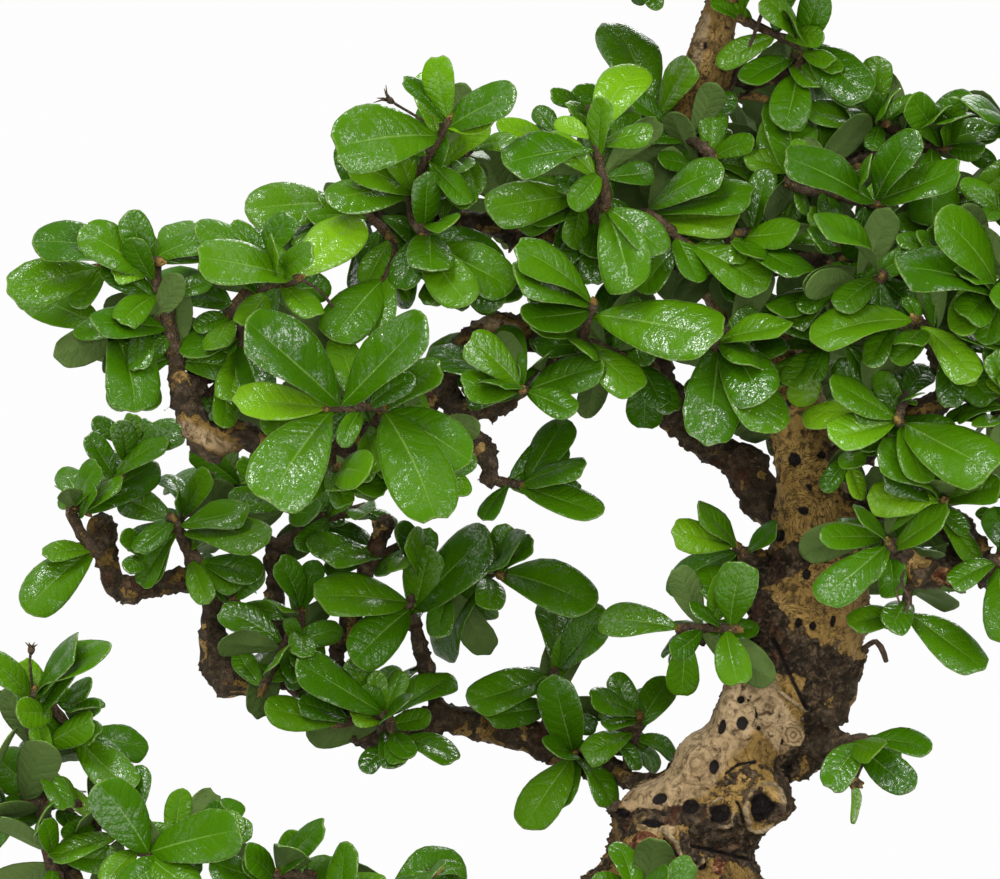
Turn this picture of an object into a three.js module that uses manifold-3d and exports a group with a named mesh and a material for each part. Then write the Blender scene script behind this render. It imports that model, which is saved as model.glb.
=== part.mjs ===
// A fukien tea bonsai (Carmona retusa) with an S-shaped trunk, in a plain oblong clay pot.
// Millimetres, +Z up, +Y away from the viewer. The origin is on the ground, below the middle of the whole.
import * as THREE from "three";
import { mergeVertices } from "three/addons/utils/BufferGeometryUtils.js";
import Module from "manifold-3d";

const wasm = await Module();
wasm.setup();

// Places on the tree are read off the photograph: x and y in its pixels, which also run on past its
// edges, and the depth in mm behind the plane of the trunk. Sizes are real ones.
const EYE = new THREE.Vector3(-35, -1200, 240);
const PHOTO_MIDDLE = { x: 500, y: 440 };
const MM_PER_PIXEL = 0.25;

const GAP = 0.3;
const SLIVER = 0.01;

const POT = {
  length: 252, width: 184, height: 70, corner: 22, cornerSteps: 3, wall: 8, floor: 9, taper: 12,
  lip: 5, lipHeight: 11, lipSlope: 3, bevel: 1.5,
};
const FOOT = { length: 44, width: 30, height: 8, x: 74.5, y: 53.5 };
const DRAIN = { radius: 7, x: 58, sides: 10 };
const SOIL = { top: 66, slope: 3, slopeWidth: 14 };
const ROOT_BALL = { x: 3.75, radius: 15, depth: 12, height: 10, sides: 12 };

const LEAF = { thickness: 0.7, shortest: 21, spread: 7, longest: 36, small: 28 };
const LEAF_WIDTH = { half: 0.255, spread: 0.05 };
const LEAF_STEP = 1.2;
const LEAF_SIDE = new THREE.Vector3(0, -0.76, 0.6);
const GOLDEN_ANGLE = 2.4;
const CROWN_MIDDLE = new THREE.Vector3(20, 0, -30);
const STEM = { sides: 3, radius: 1.3, taper: 0.8, thinnest: 1.15 };
const SIDES = { trunk: 10, limb: 6, twig: 4, knot: 7, root: 6 };

// How far a leaf may bend from where it first grew to keep clear of its neighbours: in steps, and in mm
// or radians a step.
const BENDS = [0, 1, -1, 2, -2, 3, -3, 4, -4];
const BEND_DEPTH = 3.6;
const BEND_ANGLE = 0.2;

// A leaf's pairs of rim points beyond its pointed base: share of the length, half-width in leaf widths,
// lift in lengths. Small leaves have fewer.
const OUTLINE = [
  { along: 0.38, across: 0.7, lift: 0.045 },
  { along: 0.72, across: 1, lift: 0.05 },
  { along: 1, across: 0.4, lift: -0.03 },
];
const SHORT_OUTLINE = [
  { along: 0.6, across: 0.98, lift: 0.05 },
  { along: 1, across: 0.44, lift: -0.03 },
];

// Limbs of the tree as rows of [x, y, depth, radius]. They grow into each other as one piece of wood.
const TRUNK = [
  [655, 1160, 0, 34], [653, 1110, 0, 29.5], [642, 1045, 1, 27], [640, 1000, 2, 26.5], [652, 950, 3, 25.5],
  [685, 870, 4, 23], [700, 822, 3, 20], [714, 785, 2, 17], [730, 750, 1, 14.8], [748, 718, 0, 14],
  [772, 690, 0, 14.2], [795, 658, 0, 14.6], [810, 618, -1, 14.2], [818, 575, -2, 13], [816, 525, -3, 10.8],
  [811, 475, -4, 8.9], [801, 425, -4, 7.9], [788, 380, -3, 7.1], [766, 335, -1, 6.6], [732, 297, 1, 6.3],
  [700, 258, 3, 6], [686, 205, 4, 5.8], [692, 120, 3, 5.4], [706, 70, 2, 5.9], [716, 32, 1, 5.1],
  [742, -55, 0, 4.4], [738, -108, 0, 3.9], [716, -157, 1, 3.4], [698, -215, 1, 2.4],
];
const LIMBS = {
  left_front: [
    [800, 548, 4, 5.5], [768, 508, 12, 5.2], [745, 474, 16, 6.6], [712, 448, 16, 4.6], [680, 425, 14, 4.2],
    [660, 383, 10, 5], [640, 357, 6, 5.4], [598, 350, 2, 4.6], [556, 344, -4, 4.4], [496, 328, -10, 4.2],
    [462, 352, -14, 3.6], [438, 388, -18, 3.5], [402, 420, -21, 3.6], [361, 440, -23, 3.7],
    [300, 451, -26, 3.5],
    [240, 437, -28, 3.8], [206, 446, -29, 5.4],
  ],
  lower_left: [
    [690, 800, 4, 6], [640, 778, 18, 5.2], [590, 762, 28, 4.8], [540, 742, 34, 4.6], [480, 724, 38, 4.4],
    [425, 722, 40, 4.2], [383, 736, 40, 4.6], [340, 716, 40, 3.6], [285, 676, 40, 3.8], [226, 678, 40, 5],
    [214, 640, 40, 3.8], [213, 600, 40, 3.4], [196, 580, 40, 3.6], [122, 590, 38, 3.6], [108, 560, 37, 3.4],
    [102, 516, 36, 3.8],
  ],
  base_left: [
    [652, 985, 2, 7], [590, 982, -10, 5.2], [500, 962, -22, 4.6], [400, 968, -32, 4.2], [300, 942, -40, 4],
    [200, 946, -44, 3.8], [110, 918, -46, 3.6], [56, 898, -46, 3.2],
  ],
  upper_left: [
    [712, 276, 3, 4.5], [665, 252, 6, 4.2], [600, 240, 8, 3.8], [530, 232, 6, 3.5], [462, 222, 2, 3.2],
    [388, 224, -5, 2.6],
  ],
  upper_right: [
    [688, 195, 4, 3.8], [740, 178, 2, 3.4], [790, 170, -2, 3.2], [845, 165, -6, 3], [900, 152, -8, 2.8],
    [970, 138, -8, 2.4],
  ],
  right_front: [
    [700, 258, 3, 4], [760, 262, -8, 3.6], [830, 262, -18, 3.3], [900, 275, -26, 3], [985, 283, -32, 2.6],
  ],
  right_middle: [
    [808, 478, -4, 4.5], [850, 455, -14, 4], [900, 425, -24, 3.6], [945, 398, -30, 3.6], [1004, 375, -32, 3],
  ],
  right_low: [
    [820, 520, -2, 5], [870, 505, -10, 4.4], [925, 512, -16, 4.2], [968, 540, -20, 4.2], [990, 586, -22, 3.2],
  ],
};
const TWIG_WOOD = [
  [[210, 448, -29, 4.6], [190, 415, -30, 4.2], [178, 375, -31, 3.2]],
  [[186, 402, -30, 3.2], [205, 368, -28, 3], [226, 330, -26, 3]],
  [[440, 386, -18, 3], [476, 413, -16, 3], [514, 400, -15, 2.6]],
  [[436, 392, -18, 2.6], [462, 420, -12, 2.4], [484, 450, -10, 3.1], [492, 484, -10, 2.8]],
  [[705, 74, 2, 3.6], [735, 77, 4, 2.8], [768, 80, 4, 2.4], [794, 65, 0, 2.2]],
  [[694, 124, 3, 2], [726, 106, 2, 1.5], [748, 95, 0, 1.4], [778, 106, -2, 1.3]],
  [[950, 396, -30, 2.8], [938, 360, -34, 2.4], [924, 336, -38, 2]],
  [[968, 545, -20, 4], [948, 568, -24, 3.8], [925, 574, -27, 4], [890, 545, -30, 3]],
  [[775, 735, 0, 4.5], [812, 747, -4, 4.2], [850, 742, -9, 2.6]],
  [[800, 590, 2, 4], [772, 580, 0, 3.6], [744, 552, -4, 2.6]],
  [[780, 650, 0, 3.6], [735, 643, -4, 3], [696, 636, -7, 2.6]],
  [[285, 672, 40, 3.2], [276, 620, 42, 2.8], [276, 540, 42, 3.2]],
  [[348, 718, 40, 2.8], [338, 660, 38, 2.4], [350, 620, 36, 3], [387, 518, 30, 2.6]],
  [[440, 722, 40, 2.8], [426, 668, 38, 2.4], [412, 616, 36, 2.2]],
  [[86, 912, -46, 3], [66, 858, -40, 3.4], [100, 830, -36, 2.6]],
];

// Stumps of branches that were cut off: [x, y, radius, how far it stands out of the trunk, front or back].
const FRONT = -1;
const BACK = 1;
const KNOTS = [
  [757, 802, 9, 4.5, FRONT], [697, 815, 6.5, 2.5, FRONT], [652, 855, 9.5, 3, FRONT],
  [790, 735, 4.2, 2, FRONT],
  [836, 700, 6, 4, FRONT], [615, 828, 6, 2, FRONT], [690, 760, 6, 3, BACK], [650, 930, 9, 4, BACK],
];

// Roots that spread over the soil: [turn in degrees, length from the middle of the trunk].
const ROOTS = [[8, 56], [66, 46], [122, 52], [180, 60], [236, 50], [304, 52]];

// Leafy sprays. Each grows out of the wood at "from" to its first tuft, and its stem goes on to each other
// tuft from the nearest one before it. A tuft gives the points where its leaves' tips are seen, or only how
// many leaves stand round it.
const SPRAYS = {
  left_tip: { from: [180, 388, -30], stem: 2.4, tufts: [
    { at: [168, 322, -33], tips: [[107, 361], [92, 322], [150, 358]] },
    { at: [147, 263, -32], tips: [[36, 236], [130, 212], [112, 277]] },
    { at: [104, 330, -32], tips: [[26, 293], [135, 414]] },
    { at: [100, 268, -26], tips: [[7, 293], [73, 308]] }] },
  left_crook: { from: [222, 338, -26], stem: 2, tufts: [
    { at: [238, 306, -30], tips: [[139, 282], [240, 408]] },
    { at: [298, 278, -42], tips: [[197, 255], [358, 214], [270, 245], [250, 333], [318, 318]] }] },
  left_heart: { from: [362, 436, -24], tufts: [
    { at: [383, 409, -36], tips: [[436, 519], [470, 460], [440, 366]] },
    { at: [327, 409, -42], tips: [[235, 396], [267, 506], [428, 318], [243, 322]] }] },
  left_under: { from: [330, 446, -26], tufts: [
    { at: [333, 477, -34], tips: [[287, 500], [388, 492], [346, 508]] }] },
  left_hanger: { from: [491, 480, -10], tufts: [
    { at: [527, 487, -12], tips: [[565, 416], [586, 463], [603, 515], [482, 519]] }] },
  left_bend: { from: [508, 402, -15], tufts: [
    { at: [524, 392, -18], tips: [[602, 364], [431, 346], [463, 388]] }] },
  middle_low: { from: [604, 350, 0], stem: 1.6, tufts: [
    { at: [583, 342, -20], tips: [[640, 388], [530, 330]] },
    { at: [594, 303, -30], tips: [[520, 246], [515, 272], [524, 318], [722, 335], [622, 322]] },
    { at: [652, 366, -10], tips: [[645, 430], [675, 413]] }] },
  trunk_front: { from: [766, 335, -3], stem: 1.8, tufts: [
    { at: [716, 342, -32], tips: [[792, 328], [707, 446], [762, 403], [778, 430]] }] },
  pad_left: { from: [455, 222, 1], stem: 2, tufts: [
    { at: [423, 232, -22], tips: [[427, 172], [520, 292], [398, 292]] },
    { at: [412, 190, -20], tips: [[329, 196], [380, 124], [462, 180]] },
    { at: [450, 119, -30], tips: [[436, 58], [405, 78], [495, 122], [513, 92], [333, 147]] }] },
  pad_edge: { from: [394, 224, -4], stem: 1.6, tufts: [
    { at: [352, 203, -14], tips: [[247, 205], [366, 288], [300, 250]] }] },
  pad_middle: { from: [574, 238, 7], stem: 2.2, tufts: [
    { at: [584, 194, -14], tips: [[487, 208], [572, 250], [523, 172]] },
    { at: [606, 208, -26], tips: [[665, 252], [630, 292]] },
    { at: [594, 133, -28], tips: [[640, 62], [556, 121], [653, 131], [506, 158], [604, 203]] }] },
  pad_right: { from: [652, 247, 7], stem: 1.8, tufts: [
    { at: [646, 214, -18], tips: [[722, 168], [757, 198], [740, 228]] },
    { at: [690, 246, -22], tips: [[767, 285], [640, 292]] }] },
  neck: { from: [687, 180, 3], stem: 2.1, tufts: [
    { at: [712, 158, -10], tips: [[714, 101], [754, 141], [770, 175]] },
    { at: [652, 114, 6], tips: [[611, 19], [570, 98], [690, 60], [640, 160]] }] },
  neck_front: { from: [716, 268, 0], stem: 1.6, tufts: [
    { at: [738, 234, -26], tips: [[737, 263], [808, 277], [800, 232]] }] },
  top_twig: { from: [784, 71, 1], stem: 1.5, tufts: [
    { at: [804, 48, -8], tips: [[764, -4], [818, -8], [824, 133], [863, 106], [744, 80]] }] },
  upper_right_a: { from: [838, 166, -6], stem: 1.8, tufts: [
    { at: [790, 184, -22], tips: [[784, 96], [806, 216]] },
    { at: [880, 206, -36], tips: [[787, 152], [914, 131], [963, 168], [852, 262]] }] },
  upper_right_b: { from: [896, 153, -8], stem: 1.6, tufts: [
    { at: [868, 122, -4], tips: [[878, 57], [914, 102], [806, 108]] },
    { at: [944, 150, -18], tips: [[908, 98], [962, 88], [1004, 130], [932, 222]] }] },
  upper_right_c: { from: [962, 139, -8], stem: 2.4, tufts: [
    { at: [1036, 112, -16], leaves: 3 }, { at: [1094, 100, -8], leaves: 3 },
    { at: [1110, 160, -24], leaves: 3 }] },
  right_front_a: { from: [868, 270, -22], tufts: [
    { at: [882, 278, -42], tips: [[822, 217], [838, 306], [885, 350]] }] },
  right_front_b: { from: [976, 282, -31], stem: 2.4, tufts: [
    { at: [1004, 298, -46], tips: [[897, 268], [985, 345], [940, 215]] },
    { at: [1062, 262, -42], leaves: 3 }, { at: [1130, 285, -34], leaves: 4 }] },
  right_fork: { from: [927, 342, -36], tufts: [
    { at: [916, 320, -44], tips: [[811, 336], [976, 380], [905, 296]] }] },
  right_middle_a: { from: [905, 424, -24], tufts: [
    { at: [898, 421, -42], tips: [[829, 381], [830, 437], [802, 408], [925, 481], [996, 466]] }] },
  right_middle_b: { from: [996, 378, -32], stem: 2.4, tufts: [
    { at: [1016, 408, -44], tips: [[955, 412], [990, 352]] },
    { at: [1062, 356, -38], leaves: 3 }, { at: [1140, 372, -28], leaves: 4 },
    { at: [1116, 428, -26], leaves: 2 }] },
  right_low_a: { from: [894, 550, -30], tufts: [
    { at: [888, 543, -34], tips: [[818, 600], [862, 584], [853, 512], [950, 512]] }] },
  right_low_b: { from: [934, 514, -17], tufts: [
    { at: [944, 501, -34], tips: [[867, 497], [882, 448], [1002, 488], [985, 455]] }] },
  right_low_c: { from: [912, 568, -28], tufts: [
    { at: [904, 618, -26], tips: [[850, 622], [985, 670]] }] },
  right_low_d: { from: [987, 580, -22], stem: 2.2, tufts: [
    { at: [1000, 561, -34], tips: [[950, 584], [1006, 640], [1040, 520]] },
    { at: [1066, 590, -26], leaves: 3 }, { at: [1122, 612, -16], leaves: 4 }] },
  trunk_stub: { from: [750, 558, -3], stem: 1.5, tufts: [
    { at: [735, 545, -6], tips: [[672, 531], [698, 506], [667, 592], [778, 526]] }] },
  trunk_twig: { from: [704, 638, -6], stem: 1.6, tufts: [
    { at: [681, 629, -10], tips: [[598, 617], [681, 699]] },
    { at: [737, 629, -18], tips: [[706, 565], [741, 566], [738, 684], [688, 606]] }] },
  trunk_low: { from: [842, 743, -8], stem: 1.6, tufts: [
    { at: [867, 741, -12], tips: [[829, 789], [932, 749], [913, 788]] },
    { at: [852, 782, -10], tips: [[859, 823]] }] },
  trunk_foot: { from: [640, 900, -18], stem: 1.5, tufts: [
    { at: [634, 900, -32], tips: [[617, 842], [670, 872], [590, 900]] }] },
  low_middle: { from: [574, 757, 30], stem: 1.5, tufts: [
    { at: [574, 755, 18], tips: [[552, 680], [523, 828], [614, 806]] }] },
  low_trunk: { from: [626, 774, 20], stem: 1.6, tufts: [
    { at: [638, 722, 18], tips: [[616, 674], [670, 676], [583, 757], [678, 756]] }] },
  low_riser: { from: [545, 744, 33], stem: 2, tufts: [
    { at: [557, 665, 28], tips: [[556, 597], [605, 612], [468, 702]] }] },
  low_fan: { from: [413, 622, 36], stem: 1.8, tufts: [
    { at: [411, 602, 34], tips: [[318, 592], [352, 664], [488, 533], [428, 548]] },
    { at: [497, 572, 26], tips: [[592, 600], [428, 654]] }] },
  low_heart: { from: [380, 735, 39], stem: 1.8, tufts: [
    { at: [387, 716, 26], tips: [[298, 660], [452, 672], [352, 716]] },
    { at: [396, 746, 30], tips: [[362, 770], [456, 758]] },
    { at: [338, 724, 28], tips: [[266, 706], [300, 692]] }] },
  low_left: { from: [278, 636, 42], stem: 1.6, tufts: [
    { at: [301, 612, 32], tips: [[280, 560], [318, 561], [240, 606]] },
    { at: [262, 690, 28], tips: [[236, 648], [322, 640]] }] },
  low_tip: { from: [197, 578, 40], stem: 1.8, tufts: [
    { at: [175, 521, 30], tips: [[118, 496], [250, 511], [138, 587], [266, 538]] }] },
  low_end: { from: [104, 526, 36], stem: 2.2, tufts: [
    { at: [95, 552, 28], tips: [[42, 556], [26, 612]] },
    { at: [72, 506, 30], tips: [[96, 463], [158, 464]] },
    { at: [118, 478, 30], tips: [[90, 434], [166, 440]] }] },
  low_back: { from: [276, 548, 42], stem: 2, tufts: [
    { at: [306, 522, 36], tips: [[372, 540], [326, 492]] },
    { at: [256, 492, 44], tips: [[212, 462], [262, 446], [230, 540]] }] },
  base_shoot: { from: [60, 899, -46], stem: 2.2, tufts: [
    { at: [42, 803, -46], leaves: 2 },
    { at: [33, 694, -47], tips: [[110, 652], [76, 640], [-14, 655], [66, 744], [44, 752]] },
    { at: [76, 736, -40], tips: [[148, 750], [132, 788], [100, 702]] },
    { at: [-20, 812, -48], leaves: 3 }] },
  base_fork: { from: [92, 834, -37], stem: 1.8, tufts: [
    { at: [100, 822, -44], tips: [[62, 788], [62, 838]] },
    { at: [152, 858, -52], tips: [[97, 783], [244, 830], [195, 888], [104, 884]] }] },
  base_left_c: { from: [290, 943, -40], stem: 2, tufts: [
    { at: [276, 876, -50], tips: [[322, 822], [206, 862]] },
    { at: [384, 902, -46], tips: [[462, 852], [330, 930]] },
    { at: [330, 960, -66], leaves: 3 }] },
  base_right: { from: [668, 1010, 8], stem: 3.6, tufts: [
    { at: [800, 1020, 30], leaves: 2 }, { at: [900, 1006, 44], leaves: 3 },
    { at: [1000, 998, 40], leaves: 3 }, { at: [1070, 990, 46], leaves: 4 },
    { at: [950, 990, 70], leaves: 3 }] },
  back_low: { from: [672, 930, 10], stem: 3.2, tufts: [
    { at: [684, 960, 48], leaves: 3 }, { at: [640, 985, 72], leaves: 3 },
    { at: [732, 966, 80], leaves: 4 }] },
  back_middle: { from: [815, 600, 4], stem: 2.8, tufts: [
    { at: [862, 575, 38], leaves: 3 }, { at: [918, 552, 60], leaves: 3 },
    { at: [852, 530, 74], leaves: 3 }] },
  back_heart: { from: [802, 430, 0], stem: 2.8, tufts: [
    { at: [790, 395, 36], leaves: 3 }, { at: [750, 358, 62], leaves: 3 },
    { at: [828, 350, 68], leaves: 3 }] },
  back_left: { from: [700, 250, 6], stem: 2.8, tufts: [
    { at: [652, 222, 34], leaves: 3 }, { at: [592, 206, 56], leaves: 3 }, { at: [506, 214, 50], leaves: 3 },
    { at: [664, 168, 70], leaves: 3 }] },
  back_right: { from: [689, 196, 6], stem: 2.8, tufts: [
    { at: [752, 186, 32], leaves: 3 }, { at: [822, 176, 50], leaves: 3 }, { at: [900, 200, 44], leaves: 3 },
    { at: [770, 120, 62], leaves: 3 }] },
  crown_left: { from: [741, -58, 0], stem: 2.6, tufts: [
    { at: [688, -86, -6], leaves: 3 }, { at: [632, -88, -12], leaves: 3 },
    { at: [580, -70, -10], leaves: 4 }] },
  crown_right: { from: [731, -20, 0], stem: 2.6, tufts: [
    { at: [792, -52, -6], leaves: 3 }, { at: [850, -64, -14], leaves: 3 },
    { at: [908, -56, -6], leaves: 4 }] },
  crown_front: { from: [740, -82, 0], stem: 2, tufts: [
    { at: [752, -110, -28], leaves: 3 }, { at: [706, -128, -38], leaves: 3 }] },
  crown_back: { from: [742, -60, 2], stem: 2.4, tufts: [
    { at: [748, -84, 34], leaves: 3 }, { at: [690, -60, 50], leaves: 3 },
    { at: [800, -40, 48], leaves: 3 }] },
  crown_top: { from: [701, -206, 1], stem: 1.8, tufts: [
    { at: [694, -238, -2], leaves: 5 }] },
  crown_peak: { from: [716, -157, 1], stem: 1.8, tufts: [
    { at: [768, -176, -8], leaves: 4 }, { at: [806, -138, -20], leaves: 3 }] },
  crown_side: { from: [724, -140, 1], stem: 1.8, tufts: [
    { at: [662, -160, 14], leaves: 4 }, { at: [624, -128, 28], leaves: 3 }] },
};

// A point of the tree, from where the photograph shows it.
function seen([x, y, depth]) {
  const scale = (MM_PER_PIXEL * (depth - EYE.y)) / -EYE.y;
  return new THREE.Vector3(EYE.x + (x - PHOTO_MIDDLE.x) * scale, depth, EYE.z - (y - PHOTO_MIDDLE.y) * scale);
}

// A fixed draw from 0 to 1 for each set of four whole numbers.
function draw(spray, tuft, leaf, use) {
  let mixed = Math.imul(spray + 1, 73856093) ^ Math.imul(tuft + 1, 19349663);
  mixed ^= Math.imul(leaf + 1, 83492791) ^ Math.imul(use + 1, 49979687);
  mixed = Math.imul(mixed ^ (mixed >>> 15), 0x2c1b3c6d);
  mixed = Math.imul(mixed ^ (mixed >>> 12), 0x297a2d39);
  return ((mixed ^ (mixed >>> 15)) >>> 0) / 4294967296;
}

// Closed triangles as a solid. A surface that came out inside out is turned round.
function solidOf(positions, triangles) {
  const make = (list) => new wasm.Manifold(new wasm.Mesh({
    numProp: 3, vertProperties: new Float32Array(positions), triVerts: new Uint32Array(list) }));
  const solid = make(triangles);
  return solid.volume() > 0 ? solid : make([...triangles].reverse());
}

function solidOfGeometry(geometry) {
  geometry.deleteAttribute("normal");
  geometry.deleteAttribute("uv");
  const merged = mergeVertices(geometry);
  return solidOf(merged.attributes.position.array, merged.index.array);
}

// A solid as a named mesh, without triangles too thin to matter.
function meshOf(name, solid, material) {
  const { vertProperties, triVerts } = solid.simplify(SLIVER).getMesh();
  const geometry = new THREE.BufferGeometry();
  geometry.setAttribute("position", new THREE.BufferAttribute(new Float32Array(vertProperties), 3));
  geometry.setIndex(new THREE.BufferAttribute(new Uint32Array(triVerts), 1));
  geometry.computeVertexNormals();
  const mesh = new THREE.Mesh(geometry, material);
  mesh.name = name;
  return mesh;
}

// The largest piece of a solid, without the scraps that a cut leaves.
const largest = (solid) => solid.decompose().reduce((a, b) => (a.volume() > b.volume() ? a : b));

// A skin over a row of rings with the same number of points, closed at both ends.
function loft(rings) {
  const count = rings[0].length;
  const positions = rings.flat().flatMap((point) => point.toArray());
  const triangles = [];
  for (let ring = 0; ring + 1 < rings.length; ring++) {
    for (let i = 0; i < count; i++) {
      const a = ring * count + i;
      const b = ring * count + ((i + 1) % count);
      triangles.push(a, b, b + count, a, b + count, a + count);
    }
  }
  const last = (rings.length - 1) * count;
  for (let i = 1; i + 1 < count; i++) {
    triangles.push(0, i + 1, i, last, last + i, last + i + 1);
  }
  return solidOf(positions, triangles);
}

// A tapering limb through its points. "grow" makes it thicker and longer all round.
function limb(points, radii, sides, grow) {
  const last = points.length - 1;
  const along = points.map((_, i) => (
    points[Math.min(i + 1, last)].clone().sub(points[Math.max(i - 1, 0)]).normalize()));
  const middles = points.map((point) => point.clone());
  middles[0].addScaledVector(along[0], -grow);
  middles[last].addScaledVector(along[last], grow);
  const across = new THREE.Vector3(0.31, -0.87, 0.38);
  const rings = middles.map((middle, i) => {
    across.addScaledVector(along[i], -across.dot(along[i])).normalize();
    const side = along[i].clone().cross(across);
    return Array.from({ length: sides }, (_, k) => {
      const turn = (2 * Math.PI * k) / sides;
      return middle.clone()
        .addScaledVector(across, (radii[i] + grow) * Math.cos(turn))
        .addScaledVector(side, (radii[i] + grow) * Math.sin(turn));
    });
  });
  return loft(rings);
}

const limbOfRows = (rows, sides, grow) => limb(rows.map(seen), rows.map((row) => row[3]), sides, grow);

// The trunk's middle and radius at a height.
function trunkAt(height) {
  const points = TRUNK.map(seen);
  const i = Math.min(Math.max(points.findIndex((point) => point.z >= height), 1), points.length - 1);
  const part = (height - points[i - 1].z) / (points[i].z - points[i - 1].z);
  return {
    middle: points[i - 1].clone().lerp(points[i], part),
    radius: THREE.MathUtils.lerp(TRUNK[i - 1][3], TRUNK[i][3], part),
  };
}

// The stump of a cut branch, flat-ended, standing out of the trunk's front or back.
function knot([x, y, radius, proud, side], grow) {
  const place = seen([x, y, 0]);
  const { middle, radius: trunkRadius } = trunkAt(place.z);
  const across = THREE.MathUtils.clamp(place.x - middle.x, -trunkRadius, trunkRadius);
  const outwards = new THREE.Vector3(across, side * Math.sqrt(trunkRadius ** 2 - across ** 2), 0).normalize();
  const neck = middle.clone().addScaledVector(outwards, trunkRadius * 0.45);
  const end = middle.clone().addScaledVector(outwards, trunkRadius + proud);
  return limb([neck, end], [radius * 1.25, radius * 0.92], SIDES.knot, grow);
}

// A surface root: it dips from the trunk to the soil and ends half sunk in it.
function root([degrees, length], grow) {
  const turn = THREE.MathUtils.degToRad(degrees);
  const place = (share, height) => new THREE.Vector3(
    ROOT_BALL.x + Math.cos(turn) * length * share, Math.sin(turn) * length * share, SOIL.top + height);
  const points = [place(0.25, 17), place(0.58, 8.2), place(0.82, 4.9), place(1, 3)];
  return limb(points, [9.5, 6.8, 4, 1.8], SIDES.root, grow);
}

// An upright round plug with its middle below the trunk, from a height down.
function plug(radius, top) {
  const height = ROOT_BALL.depth + ROOT_BALL.height;
  return solidOfGeometry(new THREE.CylinderGeometry(radius, radius, height, ROOT_BALL.sides)
    .rotateX(Math.PI / 2)
    .translate(ROOT_BALL.x, 0, top - height / 2));
}

// All the wood as one solid, cut off level just above the soil, with the root ball that stands in it.
function growWood(grow) {
  const pieces = [
    limbOfRows(TRUNK, SIDES.trunk, grow),
    ...Object.values(LIMBS).map((rows) => limbOfRows(rows, SIDES.limb, grow)),
    ...TWIG_WOOD.map((rows) => limbOfRows(rows, SIDES.twig, grow)),
    ...KNOTS.map((row) => knot(row, grow)),
    ...ROOTS.map((row) => root(row, grow)),
  ];
  const ground = solidOfGeometry(
    new THREE.BoxGeometry(POT.length, POT.width, SOIL.top).translate(0, 0, SOIL.top / 2 + GAP));
  const ball = plug(ROOT_BALL.radius, SOIL.top + ROOT_BALL.height);
  return wasm.Manifold.union(pieces).subtract(ground).add(ball);
}

// One arched blade from base to tip, with its upper side towards "face". "grow" makes it larger all round.
function blade({ base, tip, face, halfWidth }, grow) {
  const length = base.distanceTo(tip);
  const along = tip.clone().sub(base).normalize();
  const up = face.clone().addScaledVector(along, -face.dot(along)).normalize();
  const side = up.clone().cross(along);
  const start = base.clone().addScaledVector(along, -grow);
  const at = ({ along: share, across, lift }, way) => start.clone()
    .addScaledVector(along, share * (length + 2 * grow))
    .addScaledVector(side, way * (across * length * halfWidth + grow))
    .addScaledVector(up, lift * length);
  const outline = length > LEAF.small ? OUTLINE : SHORT_OUTLINE;
  const left = outline.map((pair) => at(pair, 1));
  const right = outline.map((pair) => at(pair, -1)).reverse();
  const rim = [start, ...left, ...right];
  const count = rim.length;
  const half = LEAF.thickness / 2 + grow;
  const positions = [half, -half].flatMap(
    (lift) => rim.flatMap((point) => point.clone().addScaledVector(up, lift).toArray()));
  const triangles = [];
  const addToBothSides = (a, b, c) => triangles.push(a, b, c, a + count, c + count, b + count);
  addToBothSides(0, 1, count - 1);
  for (let i = 1; i < outline.length; i++) {
    addToBothSides(i, i + 1, count - i);
    addToBothSides(i + 1, count - i - 1, count - i);
  }
  for (let i = 0; i < count; i++) {
    const next = (i + 1) % count;
    triangles.push(i, i + count, next + count, i, next + count, next);
  }
  return solidOf(positions, triangles);
}

// The stems of a spray, as chains of points, and the end and way of the stem at each tuft. A stem goes from
// the wood to the first tuft, then on to each tuft from the nearest one before it, and gets thinner.
function stemsOf(spray) {
  const root = { point: seen(spray.from), radius: spray.stem ?? STEM.radius };
  const grown = [];
  const chains = [[root]];
  const shoots = spray.tufts.map((tuft) => {
    const point = seen(tuft.at);
    const nearer = (a, b) => (a.point.distanceTo(point) <= b.point.distanceTo(point) ? a : b);
    const start = grown.length ? grown.reduce(nearer) : root;
    const end = { point, radius: Math.max(start.radius * STEM.taper, STEM.thinnest) };
    const chain = chains.find((points) => points.at(-1) === start);
    if (chain) {
      chain.push(end);
    } else {
      chains.push([start, end]);
    }
    grown.push(end);
    return { point, way: point.clone().sub(start.point).normalize() };
  });
  return { chains, shoots };
}

const makeStems = ({ chains }) => wasm.Manifold.union(chains.map((chain) => (
  limb(chain.map(({ point }) => point), chain.map(({ radius }) => radius), STEM.sides, 0))));

// The leaf that the photograph shows from its tuft to a tip. A bend moves its tip only along the line of
// sight.
function leafSeen(tuft, base, ids, bend) {
  const tip = tuft.tips[ids[2]];
  const apparent = base.distanceTo(seen([...tip, tuft.at[2]]));
  const length = Math.min(apparent * (1.04 + 0.22 * draw(...ids, 0)), Math.max(LEAF.longest, apparent));
  const towards = draw(...ids, 1) < 0.7 ? -1 : 1;
  const forward = towards * Math.sqrt(Math.max(length ** 2 - apparent ** 2, 0)) + bend * BEND_DEPTH;
  const face = LEAF_SIDE.clone().setX(0.5 * (draw(...ids, 2) - 0.5));
  return { base, tip: seen([...tip, tuft.at[2] + forward]), face };
}

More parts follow.
